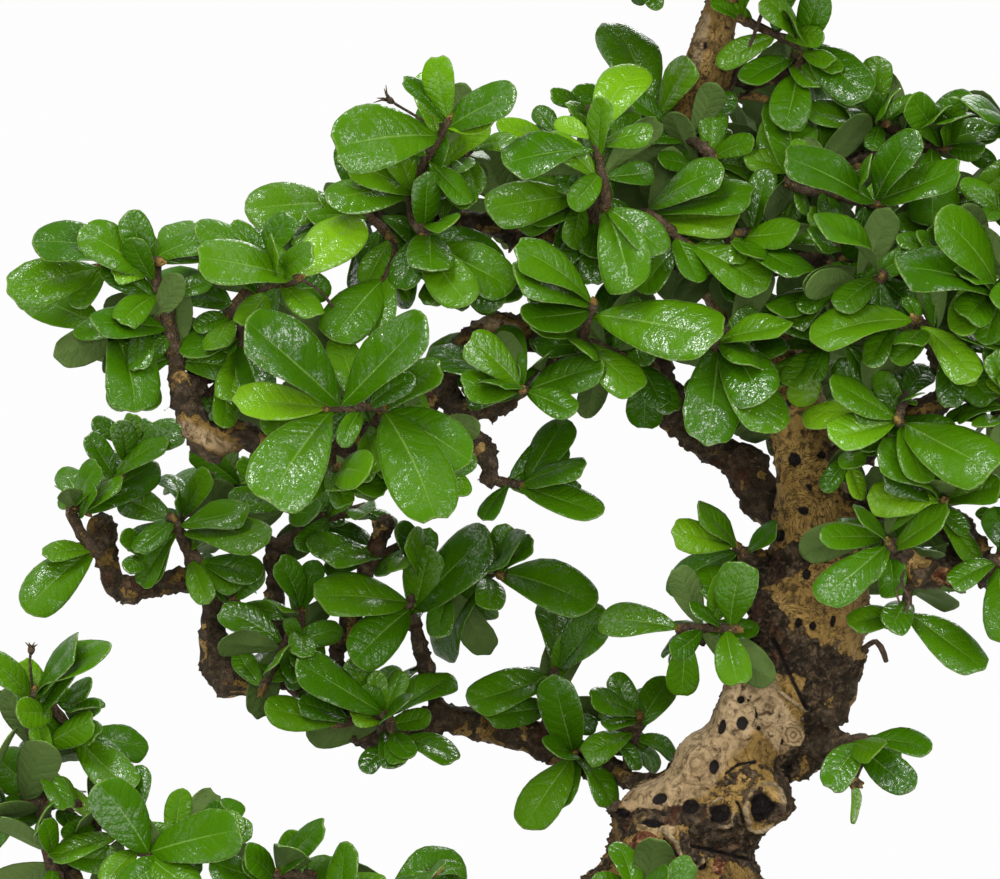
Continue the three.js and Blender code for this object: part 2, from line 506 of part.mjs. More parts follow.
// A leaf that stands round its tuft, whose middle points out of the crown and up.
function leafRound(base, ids, bend) {
  const heart = CROWN_MIDDLE.clone().setZ(base.z + CROWN_MIDDLE.z);
  const axis = base.clone().sub(heart).normalize().add(new THREE.Vector3(0, 0, 0.6)).normalize();
  const across = new THREE.Vector3(0, 0, 1).cross(axis).normalize();
  const other = axis.clone().cross(across);
  const firstTurn = 2 * Math.PI * draw(ids[0], ids[1], 0, 5);
  const turn = firstTurn + GOLDEN_ANGLE * ids[2];
  const rise = 0.25 + 0.5 * draw(...ids, 1) + bend * BEND_ANGLE;
  const length = LEAF.shortest + LEAF.spread * draw(...ids, 3);
  const direction = across.multiplyScalar(Math.cos(turn)).addScaledVector(other, Math.sin(turn))
    .multiplyScalar(Math.cos(rise)).addScaledVector(axis, Math.sin(rise));
  return { base, tip: base.clone().addScaledVector(direction, length), face: axis };
}

// Every leaf of a tuft, as a function from its bend to the leaf. They stand one behind the other at the
// stem's end.
function leavesOf(tuft, shoot, sprayNumber, tuftNumber) {
  return Array.from({ length: tuft.tips ? tuft.tips.length : tuft.leaves }, (_, i) => {
    const ids = [sprayNumber, tuftNumber, i];
    const base = shoot.point.clone().addScaledVector(shoot.way, -(i + 0.5) * LEAF_STEP);
    const halfWidth = LEAF_WIDTH.half + LEAF_WIDTH.spread * draw(...ids, 4);
    const grow = tuft.tips ? (bend) => leafSeen(tuft, base, ids, bend) : (bend) => leafRound(base, ids, bend);
    return (bend) => ({ ...grow(bend), halfWidth });
  });
}

const near = (a, b) => a.min.every((low, i) => low <= b.max[i] && b.min[i] <= a.max[i]);
const meets = (a, b) => near(a.boundingBox(), b.boundingBox()) && a.intersect(b).volume() > 0;
const outerPart = (leaf) => ({ ...leaf, base: leaf.base.clone().lerp(leaf.tip, 0.3) });

// The first bend in which a leaf clears the wood and all other sprays, and its own spray's leaves where it
// can.
function fittingBend(leafAt, wood, others, ownLeaves) {
  const fits = BENDS.filter((bend) => {
    const leaf = leafAt(bend);
    const wide = blade(leaf, GAP);
    return !others.some((solid) => meets(wide, solid)) && !meets(blade(outerPart(leaf), GAP), wood);
  });
  return fits.find((bend) => {
    const outer = blade(outerPart(leafAt(bend)), 0);
    return !ownLeaves.some((solid) => meets(outer, solid));
  }) ?? fits[0];
}

// Grows the sprays one by one. A leaf that fits nowhere is left out.
function growSprays(wood) {
  const sprays = Object.entries(SPRAYS).map(([name, spray], number) => {
    const stems = stemsOf(spray);
    return { name, spray, number, stems, stem: makeStems(stems), leaves: [] };
  });
  for (const grower of sprays) {
    const others = sprays
      .filter((other) => other !== grower)
      .flatMap((other) => [other.stem, ...other.leaves]);
    grower.spray.tufts.forEach((tuft, tuftNumber) => {
      const leaves = leavesOf(tuft, grower.stems.shoots[tuftNumber], grower.number, tuftNumber);
      for (const leafAt of leaves) {
        const bend = fittingBend(leafAt, wood, others, grower.leaves);
        if (bend !== undefined) {
          grower.leaves.push(blade(leafAt(bend), 0));
        }
      }
    });
  }
  return sprays.map(({ name, stem, leaves }) => ({ name, solid: wasm.Manifold.union([stem, ...leaves]) }));
}

// The pot's outer ring at a height, an oblong with round corners, drawn in by "inset" on every side. It
// widens evenly from its foot to its rim.
function potRing(height, inset) {
  const drawnIn = inset + POT.taper * (1 - height / POT.height);
  const corner = POT.corner - Math.min(inset, POT.corner / 2);
  const x = POT.length / 2 - drawnIn - corner;
  const y = POT.width / 2 - drawnIn - corner;
  const ring = [];
  for (const [quarter, [middleX, middleY]] of [[x, y], [-x, y], [-x, -y], [x, -y]].entries()) {
    for (let step = 0; step <= POT.cornerSteps; step++) {
      const turn = (quarter + step / POT.cornerSteps) * (Math.PI / 2);
      ring.push(new THREE.Vector3(
        middleX + corner * Math.cos(turn), middleY + corner * Math.sin(turn), height));
    }
  }
  return ring;
}

function makePot() {
  const lipUnder = POT.height - POT.lipHeight;
  const outside = loft([
    potRing(FOOT.height, POT.lip + 2), potRing(FOOT.height + 2, POT.lip),
    potRing(lipUnder - POT.lipSlope, POT.lip), potRing(lipUnder, 0), potRing(POT.height - POT.bevel, 0),
    potRing(POT.height, POT.bevel),
  ]);
  const wall = POT.lip + POT.wall;
  const inside = loft([potRing(FOOT.height + POT.floor, wall), potRing(POT.height + 1, wall)]);
  const corners = [[1, 1], [-1, 1], [-1, -1], [1, -1]];
  const feet = corners.map(([x, y]) => solidOfGeometry(
    new THREE.BoxGeometry(FOOT.length, FOOT.width, FOOT.height + 2)
      .translate(x * FOOT.x, y * FOOT.y, FOOT.height / 2 + 1)));
  const drains = [-1, 1].map((side) => solidOfGeometry(
    new THREE.CylinderGeometry(DRAIN.radius, DRAIN.radius, POT.height / 2, DRAIN.sides)
      .rotateX(Math.PI / 2)
      .translate(side * DRAIN.x, 0, FOOT.height)));
  return wasm.Manifold.union([outside.subtract(inside), ...feet]).subtract(wasm.Manifold.union(drains));
}

function makeSoil() {
  const inset = POT.lip + POT.wall + GAP;
  const body = loft([
    potRing(FOOT.height + POT.floor + GAP, inset), potRing(SOIL.top - SOIL.slope, inset),
    potRing(SOIL.top, inset + SOIL.slopeWidth),
  ]);
  return body.subtract(plug(ROOT_BALL.radius + GAP, SOIL.top + ROOT_BALL.height - GAP));
}

const bark = new THREE.MeshStandardMaterial({ color: 0x6b5340, roughness: 0.9, metalness: 0 });
const leafGreen = new THREE.MeshStandardMaterial({ color: 0x2f7a1e, roughness: 0.35, metalness: 0 });
const clay = new THREE.MeshStandardMaterial({ color: 0x5a3d30, roughness: 0.6, metalness: 0 });
const earth = new THREE.MeshStandardMaterial({ color: 0x3a2c22, roughness: 1, metalness: 0 });

const wood = growWood(0);
const clearOfWood = growWood(GAP);
const bonsai = new THREE.Group();
bonsai.add(meshOf("pot", makePot(), clay));
bonsai.add(meshOf("soil", makeSoil(), earth));
bonsai.add(meshOf("trunk_and_branches", largest(wood), bark));
for (const { name, solid } of growSprays(wood)) {
  bonsai.add(meshOf("spray_" + name, largest(solid.subtract(clearOfWood)), leafGreen));
}

const whole = new THREE.Box3().setFromObject(bonsai);
bonsai.position.set(-(whole.min.x + whole.max.x) / 2, -(whole.min.y + whole.max.y) / 2, 0);

export default bonsai;
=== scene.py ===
"""A fukien tea bonsai in an oblong clay pot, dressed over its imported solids.

Lengths are in mm in the tree's own frame, with its origin under the pot's middle, until a mesh is made.
"""

import itertools
import math
import random

import bmesh
import bpy
import numpy as np
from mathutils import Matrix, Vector, kdtree, noise
from mathutils.bvhtree import BVHTree


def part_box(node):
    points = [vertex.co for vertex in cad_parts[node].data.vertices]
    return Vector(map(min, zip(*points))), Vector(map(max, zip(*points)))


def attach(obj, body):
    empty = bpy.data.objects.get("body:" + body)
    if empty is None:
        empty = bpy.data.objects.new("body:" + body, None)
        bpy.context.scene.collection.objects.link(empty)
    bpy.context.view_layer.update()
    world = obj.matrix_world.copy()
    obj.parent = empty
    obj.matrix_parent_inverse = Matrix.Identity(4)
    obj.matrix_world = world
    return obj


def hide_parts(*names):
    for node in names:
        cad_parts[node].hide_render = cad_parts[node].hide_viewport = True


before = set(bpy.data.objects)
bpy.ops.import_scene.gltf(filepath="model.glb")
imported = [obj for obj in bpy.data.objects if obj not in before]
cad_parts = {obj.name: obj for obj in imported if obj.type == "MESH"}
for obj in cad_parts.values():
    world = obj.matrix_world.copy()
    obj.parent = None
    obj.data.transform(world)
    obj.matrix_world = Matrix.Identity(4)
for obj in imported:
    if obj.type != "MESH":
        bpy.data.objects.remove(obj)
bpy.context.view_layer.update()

# The eye, and how the photograph's pixels lie in the plane of the trunk.
EYE = np.array([-35.0, -1200.0, 240.0])
PHOTO_MIDDLE = (500, 440)
PHOTO_WIDTH = 1000
MM_PER_PIXEL = 0.25
SENSOR = 36.0
CLIP_END = 100
MM_PER_METRE = 1000

# The pot's middle lies on the tree's own Z axis.
pot_low, pot_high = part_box("pot")
SHIFT = np.array([(pot_low.x + pot_high.x) / 2, (pot_low.y + pot_high.y) / 2, 0])

POT = {"length": 252, "width": 184, "height": 70, "corner": 22, "wall": 8, "floor": 9, "taper": 12,
       "lip": 5, "lip_height": 11}
FOOT = {"length": 44, "width": 30, "height": 8, "x": 74.5, "y": 53.5, "corners": 32, "squareness": 0.22}
DRAIN = {"radius": 7, "x": 58, "heights": (0.0, 12.0, 24.0)}
SOIL = {"top": 66, "slope": 3, "slope_width": 20, "gap": 0.4, "bumps": 1.1}
SOIL_NOISE = (0.06, 5, 3)
SOIL_SHARES = np.concatenate([[1.0], np.linspace(0.985, 0.02, 58)])
POT_SHARP = math.radians(38)
SOIL_SHARP = math.radians(55)

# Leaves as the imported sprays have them.
LEAF = {"shortest": 21, "spread": 7, "longest": 36, "small": 28}
LEAF_WIDTH = {"half": 0.255, "spread": 0.05, "spur": 0.88}
LEAF_STEP = 1.2
LEAF_SIDE = np.array([0, -0.76, 0.6])
BETWEEN_SIDE = np.array([0, -0.8, 0.55])
GOLDEN_ANGLE = 2.4
CROWN_MIDDLE = np.array([20.0, 0.0, -30.0])
STEM = {"taper": 0.8, "thinnest": 1.15}
BENDS = [0, 1, -1, 2, -2, 3, -3, 4, -4]
BEND_DEPTH = 3.6
BEND_ANGLE = 0.2

# Whole numbers that the fixed draws of the sprays are mixed with.
DRAW_FACTORS = (73856093, 19349663, 83492791, 49979687)
DRAW_MIXERS = (0x2C1B3C6D, 0x297A2D39)

# Limbs of the tree as rows of [x, y, depth, radius]. They grow into each other as one piece of wood.
TRUNK = [
    [655, 1160, 0, 34], [653, 1110, 0, 29.5], [642, 1045, 1, 27], [640, 1000, 2, 26.5], [652, 950, 3, 25.5],
    [685, 870, 4, 23], [700, 822, 3, 20], [714, 785, 2, 17], [730, 750, 1, 14.8], [748, 718, 0, 14],
    [772, 690, 0, 14.2], [795, 658, 0, 14.6], [810, 618, -1, 14.2], [818, 575, -2, 13], [816, 525, -3, 10.8],
    [811, 475, -4, 8.9], [801, 425, -4, 7.9], [788, 380, -3, 7.1], [766, 335, -1, 6.6], [732, 297, 1, 6.3],
    [700, 258, 3, 6], [686, 205, 4, 5.8], [692, 120, 3, 5.4], [706, 70, 2, 5.9], [716, 32, 1, 5.1],
    [742, -55, 0, 4.4], [738, -108, 0, 3.9], [716, -157, 1, 3.4], [698, -215, 1, 2.4],
]
LIMBS = {
    "left_front": [
        [800, 548, 4, 5.5], [768, 508, 12, 5.2], [745, 474, 16, 6.6], [712, 448, 16, 4.6],
        [680, 425, 14, 4.2], [660, 383, 10, 5], [640, 357, 6, 5.4], [598, 350, 2, 4.6],
        [556, 344, -4, 4.4], [496, 328, -10, 4.2], [462, 352, -14, 3.6],
        [438, 388, -18, 3.5], [402, 420, -21, 3.6], [361, 440, -23, 3.7],
        [300, 451, -26, 3.5], [240, 437, -28, 3.8], [206, 446, -29, 5.4],
    ],
    "lower_left": [
        [690, 800, 4, 6], [640, 778, 18, 5.2], [590, 762, 28, 4.8], [540, 742, 34, 4.6], [480, 724, 38, 4.4],
        [425, 722, 40, 4.2], [383, 736, 40, 4.6], [340, 716, 40, 3.6], [285, 676, 40, 3.8], [226, 678, 40, 5],
        [214, 640, 40, 3.8], [213, 600, 40, 3.4], [196, 580, 40, 3.6], [122, 590, 38, 3.6],
        [108, 560, 37, 3.4], [102, 516, 36, 3.8],
    ],
    "base_left": [
        [652, 985, 2, 7], [590, 982, -10, 5.2], [500, 962, -22, 4.6], [400, 968, -32, 4.2],
        [300, 942, -40, 4], [200, 946, -44, 3.8], [110, 918, -46, 3.6], [56, 898, -46, 3.2],
    ],
    "upper_left": [
        [712, 276, 3, 4.5], [665, 252, 6, 4.2], [600, 240, 8, 3.8], [530, 232, 6, 3.5], [462, 222, 2, 3.2],
        [388, 224, -5, 2.6],
    ],
    "upper_right": [
        [688, 195, 4, 3.8], [740, 178, 2, 3.4], [790, 170, -2, 3.2], [845, 165, -6, 3], [900, 152, -8, 2.8],
        [970, 138, -8, 2.4],
    ],
    "right_front": [
        [700, 258, 3, 4], [760, 262, -8, 3.6], [830, 262, -18, 3.3], [900, 275, -26, 3], [985, 283, -32, 2.6],
    ],
    "right_middle": [
        [808, 478, -4, 4.5], [850, 455, -14, 4], [900, 425, -24, 3.6], [945, 398, -30, 3.6],
        [1004, 375, -32, 3],
    ],
    "right_low": [
        [820, 520, -2, 5], [870, 505, -10, 4.4], [925, 512, -16, 4.2], [968, 540, -20, 4.2],
        [990, 586, -22, 3.2],
    ],
}
TWIG_WOOD = [
    [[210, 448, -29, 4.6], [190, 415, -30, 4.2], [178, 375, -31, 3.2]],
    [[186, 402, -30, 3.2], [205, 368, -28, 3], [226, 330, -26, 3]],
    [[440, 386, -18, 3], [476, 413, -16, 3], [514, 400, -15, 2.6]],
    [[436, 392, -18, 2.6], [462, 420, -12, 2.4], [484, 450, -10, 3.1], [492, 484, -10, 2.8]],
    [[705, 74, 2, 3.6], [735, 77, 4, 2.8], [768, 80, 4, 2.4], [794, 65, 0, 2.2]],
    [[694, 124, 3, 2], [726, 106, 2, 1.5], [748, 95, 0, 1.4], [778, 106, -2, 1.3]],
    [[950, 396, -30, 2.8], [938, 360, -34, 2.4], [924, 336, -38, 2]],
    [[968, 545, -20, 4], [948, 568, -24, 3.8], [925, 574, -27, 4], [890, 545, -30, 3]],
    [[775, 735, 0, 4.5], [812, 747, -4, 4.2], [850, 742, -9, 2.6]],
    [[800, 590, 2, 4], [772, 580, 0, 3.6], [744, 552, -4, 2.6]],
    [[780, 650, 0, 3.6], [735, 643, -4, 3], [696, 636, -7, 2.6]],
    [[285, 672, 40, 3.2], [276, 620, 42, 2.8], [276, 540, 42, 3.2]],
    [[348, 718, 40, 2.8], [338, 660, 38, 2.4], [350, 620, 36, 3], [387, 518, 30, 2.6]],
    [[440, 722, 40, 2.8], [426, 668, 38, 2.4], [412, 616, 36, 2.2]],
    [[86, 912, -46, 3], [66, 858, -40, 3.4], [100, 830, -36, 2.6]],
]

# Stumps of branches that were cut off: [x, y, radius, how far it stands out of the trunk, front or back].
FRONT = -1
BACK = 1
KNOTS = [
    [757, 802, 9, 4.5, FRONT], [697, 815, 6.5, 2.5, FRONT], [652, 855, 9.5, 3, FRONT],
    [790, 735, 4.2, 2, FRONT], [836, 700, 6, 4, FRONT], [615, 828, 6, 2, FRONT],
    [690, 760, 6, 3, BACK], [650, 930, 9, 4, BACK],
]

# Roots that spread over the soil: [turn in degrees, length from the middle of the trunk].
ROOTS = [[8, 56], [66, 46], [122, 52], [180, 60], [236, 50], [304, 52]]

# Finer roots between them: [turn in degrees, length, thickness against a full root].
FINE_ROOTS = [
    [32, 44, 0.6], [48, 38, 0.42], [96, 40, 0.55], [150, 46, 0.62], [166, 40, 0.4], [208, 48, 0.6],
    [266, 42, 0.6], [286, 38, 0.42], [336, 46, 0.62], [352, 40, 0.4],
]

# Where the trunk's middle stands in the soil.
TRUNK_X = 3.75

# A surface root, from the trunk to where it sinks in: (share of its length, height over the soil, radius).
ROOT_COURSE = [(0.2, 30, 9), (0.3, 22, 11), (0.45, 11.5, 9.6), (0.62, 6.2, 7.4), (0.82, 2.6, 5), (1, -1, 3.2),
               (1.16, -5, 2.2)]

# Leafy sprays: (where each grows out of the wood, its stem's radius, its tufts). The stem goes on to each
# tuft from the nearest one before it. A tuft is [x, y, depth] with the points (x, y) where its leaves' tips
# are seen, or with the number of leaves that stand round it.
SPRAY_ROWS = {
    "left_tip": ([180, 388, -30], 2.4, [
        [168, 322, -33, (107, 361), (92, 322), (150, 358)],
        [147, 263, -32, (36, 236), (130, 212), (112, 277)], [104, 330, -32, (26, 293), (135, 414)],
        [100, 268, -26, (7, 293), (73, 308)]]),
    "left_crook": ([222, 338, -26], 2, [
        [238, 306, -30, (139, 282), (240, 408)],
        [298, 278, -42, (197, 255), (358, 214), (270, 245), (250, 333), (318, 318)]]),
    "left_heart": ([362, 436, -24], 1.3, [
        [383, 409, -36, (436, 519), (470, 460), (440, 366)],
        [327, 409, -42, (235, 396), (267, 506), (428, 318), (243, 322)]]),
    "left_under": ([330, 446, -26], 1.3, [[333, 477, -34, (287, 500), (388, 492), (346, 508)]]),
    "left_hanger": ([491, 480, -10], 1.3, [[527, 487, -12, (565, 416), (586, 463), (603, 515), (482, 519)]]),
    "left_bend": ([508, 402, -15], 1.3, [[524, 392, -18, (602, 364), (431, 346), (463, 388)]]),
    "middle_low": ([604, 350, 0], 1.6, [
        [583, 342, -20, (640, 388), (530, 330)],
        [594, 303, -30, (520, 246), (515, 272), (524, 318), (722, 335), (622, 322)],
        [652, 366, -10, (645, 430), (675, 413)]]),
    "trunk_front": ([766, 335, -3], 1.8, [[716, 342, -32, (792, 328), (707, 446), (762, 403), (778, 430)]]),
    "pad_left": ([455, 222, 1], 2, [
        [423, 232, -22, (427, 172), (520, 292), (398, 292)],
        [412, 190, -20, (329, 196), (380, 124), (462, 180)],
        [450, 119, -30, (436, 58), (405, 78), (495, 122), (513, 92), (333, 147)]]),
    "pad_edge": ([394, 224, -4], 1.6, [[352, 203, -14, (247, 205), (366, 288), (300, 250)]]),
    "pad_middle": ([574, 238, 7], 2.2, [
        [584, 194, -14, (487, 208), (572, 250), (523, 172)], [606, 208, -26, (665, 252), (630, 292)],
        [594, 133, -28, (640, 62), (556, 121), (653, 131), (506, 158), (604, 203)]]),
    "pad_right": ([652, 247, 7], 1.8, [
        [646, 214, -18, (722, 168), (757, 198), (740, 228)], [690, 246, -22, (767, 285), (640, 292)]]),
    "neck": ([687, 180, 3], 2.1, [
        [712, 158, -10, (714, 101), (754, 141), (770, 175)],
        [652, 114, 6, (611, 19), (570, 98), (690, 60), (640, 160)]]),
    "neck_front": ([716, 268, 0], 1.6, [[738, 234, -26, (737, 263), (808, 277), (800, 232)]]),
    "top_twig": ([784, 71, 1], 1.5, [[804, 48, -8, (764, -4), (818, -8), (824, 133), (863, 106), (744, 80)]]),
    "upper_right_a": ([838, 166, -6], 1.8, [
        [790, 184, -22, (784, 96), (806, 216)],
        [880, 206, -36, (787, 152), (914, 131), (963, 168), (852, 262)]]),
    "upper_right_b": ([896, 153, -8], 1.6, [
        [868, 122, -4, (878, 57), (914, 102), (806, 108)],
        [944, 150, -18, (908, 98), (962, 88), (1004, 130), (932, 222)]]),
    "upper_right_c": ([962, 139, -8], 2.4, [[1036, 112, -16, 3], [1094, 100, -8, 3], [1110, 160, -24, 3]]),
    "right_front_a": ([868, 270, -22], 1.3, [[882, 278, -42, (822, 217), (838, 306), (885, 350)]]),
    "right_front_b": ([976, 282, -31], 2.4, [
        [1004, 298, -46, (897, 268), (985, 345), (940, 215)], [1062, 262, -42, 3], [1130, 285, -34, 4]]),
    "right_fork": ([927, 342, -36], 1.3, [[916, 320, -44, (811, 336), (976, 380), (905, 296)]]),
    "right_middle_a": ([905, 424, -24], 1.3, [
        [898, 421, -42, (829, 381), (830, 437), (802, 408), (925, 481), (996, 466)]]),
    "right_middle_b": ([996, 378, -32], 2.4, [
        [1016, 408, -44, (955, 412), (990, 352)], [1062, 356, -38, 3], [1140, 372, -28, 4],
        [1116, 428, -26, 2]]),
    "right_low_a": ([894, 550, -30], 1.3, [[888, 543, -34, (818, 600), (862, 584), (853, 512), (950, 512)]]),
    "right_low_b": ([934, 514, -17], 1.3, [[944, 501, -34, (867, 497), (882, 448), (1002, 488), (985, 455)]]),
    "right_low_c": ([912, 568, -28], 1.3, [[904, 618, -26, (850, 622), (985, 670)]]),
    "right_low_d": ([987, 580, -22], 2.2, [
        [1000, 561, -34, (950, 584), (1006, 640), (1040, 520)], [1066, 590, -26, 3], [1122, 612, -16, 4]]),
    "trunk_stub": ([750, 558, -3], 1.5, [[735, 545, -6, (672, 531), (698, 506), (667, 592), (778, 526)]]),
    "trunk_twig": ([704, 638, -6], 1.6, [
        [681, 629, -10, (598, 617), (681, 699)],
        [737, 629, -18, (706, 565), (741, 566), (738, 684), (688, 606)]]),
    "trunk_low": ([842, 743, -8], 1.6, [
        [867, 741, -12, (829, 789), (932, 749), (913, 788)], [852, 782, -10, (859, 823)]]),
    "trunk_foot": ([640, 900, -18], 1.5, [[634, 900, -32, (617, 842), (670, 872), (590, 900)]]),
    "low_middle": ([574, 757, 30], 1.5, [[574, 755, 18, (552, 680), (523, 828), (614, 806)]]),
    "low_trunk": ([626, 774, 20], 1.6, [[638, 722, 18, (616, 674), (670, 676), (583, 757), (678, 756)]]),
    "low_riser": ([545, 744, 33], 2, [[557, 665, 28, (556, 597), (605, 612), (468, 702)]]),
    "low_fan": ([413, 622, 36], 1.8, [
        [411, 602, 34, (318, 592), (352, 664), (488, 533), (428, 548)],
        [497, 572, 26, (592, 600), (428, 654)]]),
    "low_heart": ([380, 735, 39], 1.8, [
        [387, 716, 26, (298, 660), (452, 672), (352, 716)], [396, 746, 30, (362, 770), (456, 758)],
        [338, 724, 28, (266, 706), (300, 692)]]),
    "low_left": ([278, 636, 42], 1.6, [
        [301, 612, 32, (280, 560), (318, 561), (240, 606)], [262, 690, 28, (236, 648), (322, 640)]]),
    "low_tip": ([197, 578, 40], 1.8, [[175, 521, 30, (118, 496), (250, 511), (138, 587), (266, 538)]]),
    "low_end": ([104, 526, 36], 2.2, [
        [95, 552, 28, (42, 556), (26, 612)], [72, 506, 30, (96, 463), (158, 464)],
        [118, 478, 30, (90, 434), (166, 440)]]),
    "low_back": ([276, 548, 42], 2, [
        [306, 522, 36, (372, 540), (326, 492)], [256, 492, 44, (212, 462), (262, 446), (230, 540)]]),
    "base_shoot": ([60, 899, -46], 2.2, [
        [42, 803, -46, 2], [33, 694, -47, (110, 652), (76, 640), (-14, 655), (66, 744), (44, 752)],
        [76, 736, -40, (148, 750), (132, 788), (100, 702)], [-20, 812, -48, 3]]),
    "base_fork": ([92, 834, -37], 1.8, [
        [100, 822, -44, (62, 788), (62, 838)],
        [152, 858, -52, (97, 783), (244, 830), (195, 888), (104, 884)]]),
    "base_left_c": ([290, 943, -40], 2, [
        [276, 876, -50, (322, 822), (206, 862)], [384, 902, -46, (462, 852), (330, 930)],
        [330, 960, -66, 3]]),
    "base_right": ([668, 1010, 8], 3.6, [
        [800, 1020, 30, 2], [900, 1006, 44, 3], [1000, 998, 40, 3], [1070, 990, 46, 4], [950, 990, 70, 3]]),
    "back_low": ([672, 930, 10], 3.2, [[684, 960, 48, 3], [640, 985, 72, 3], [732, 966, 80, 4]]),
    "back_middle": ([815, 600, 4], 2.8, [[862, 575, 38, 3], [918, 552, 60, 3], [852, 530, 74, 3]]),
    "back_heart": ([802, 430, 0], 2.8, [[790, 395, 36, 3], [750, 358, 62, 3], [828, 350, 68, 3]]),
    "back_left": ([700, 250, 6], 2.8, [
        [652, 222, 34, 3], [592, 206, 56, 3], [506, 214, 50, 3], [664, 168, 70, 3]]),
    "back_right": ([689, 196, 6], 2.8, [
        [752, 186, 32, 3], [822, 176, 50, 3], [900, 200, 44, 3], [770, 120, 62, 3]]),
    "crown_left": ([741, -58, 0], 2.6, [[688, -86, -6, 3], [632, -88, -12, 3], [580, -70, -10, 4]]),
    "crown_right": ([731, -20, 0], 2.6, [[792, -52, -6, 3], [850, -64, -14, 3], [908, -56, -6, 4]]),
    "crown_front": ([740, -82, 0], 2, [[752, -110, -28, 3], [706, -128, -38, 3]]),
    "crown_back": ([742, -60, 2], 2.4, [[748, -84, 34, 3], [690, -60, 50, 3], [800, -40, 48, 3]]),
    "crown_top": ([701, -206, 1], 1.8, [[694, -238, -2, 5]]),
    "crown_peak": ([716, -157, 1], 1.8, [[768, -176, -8, 4], [806, -138, -20, 3]]),
    "crown_side": ([724, -140, 1], 1.8, [[662, -160, 14, 4], [624, -128, 28, 3]]),
}

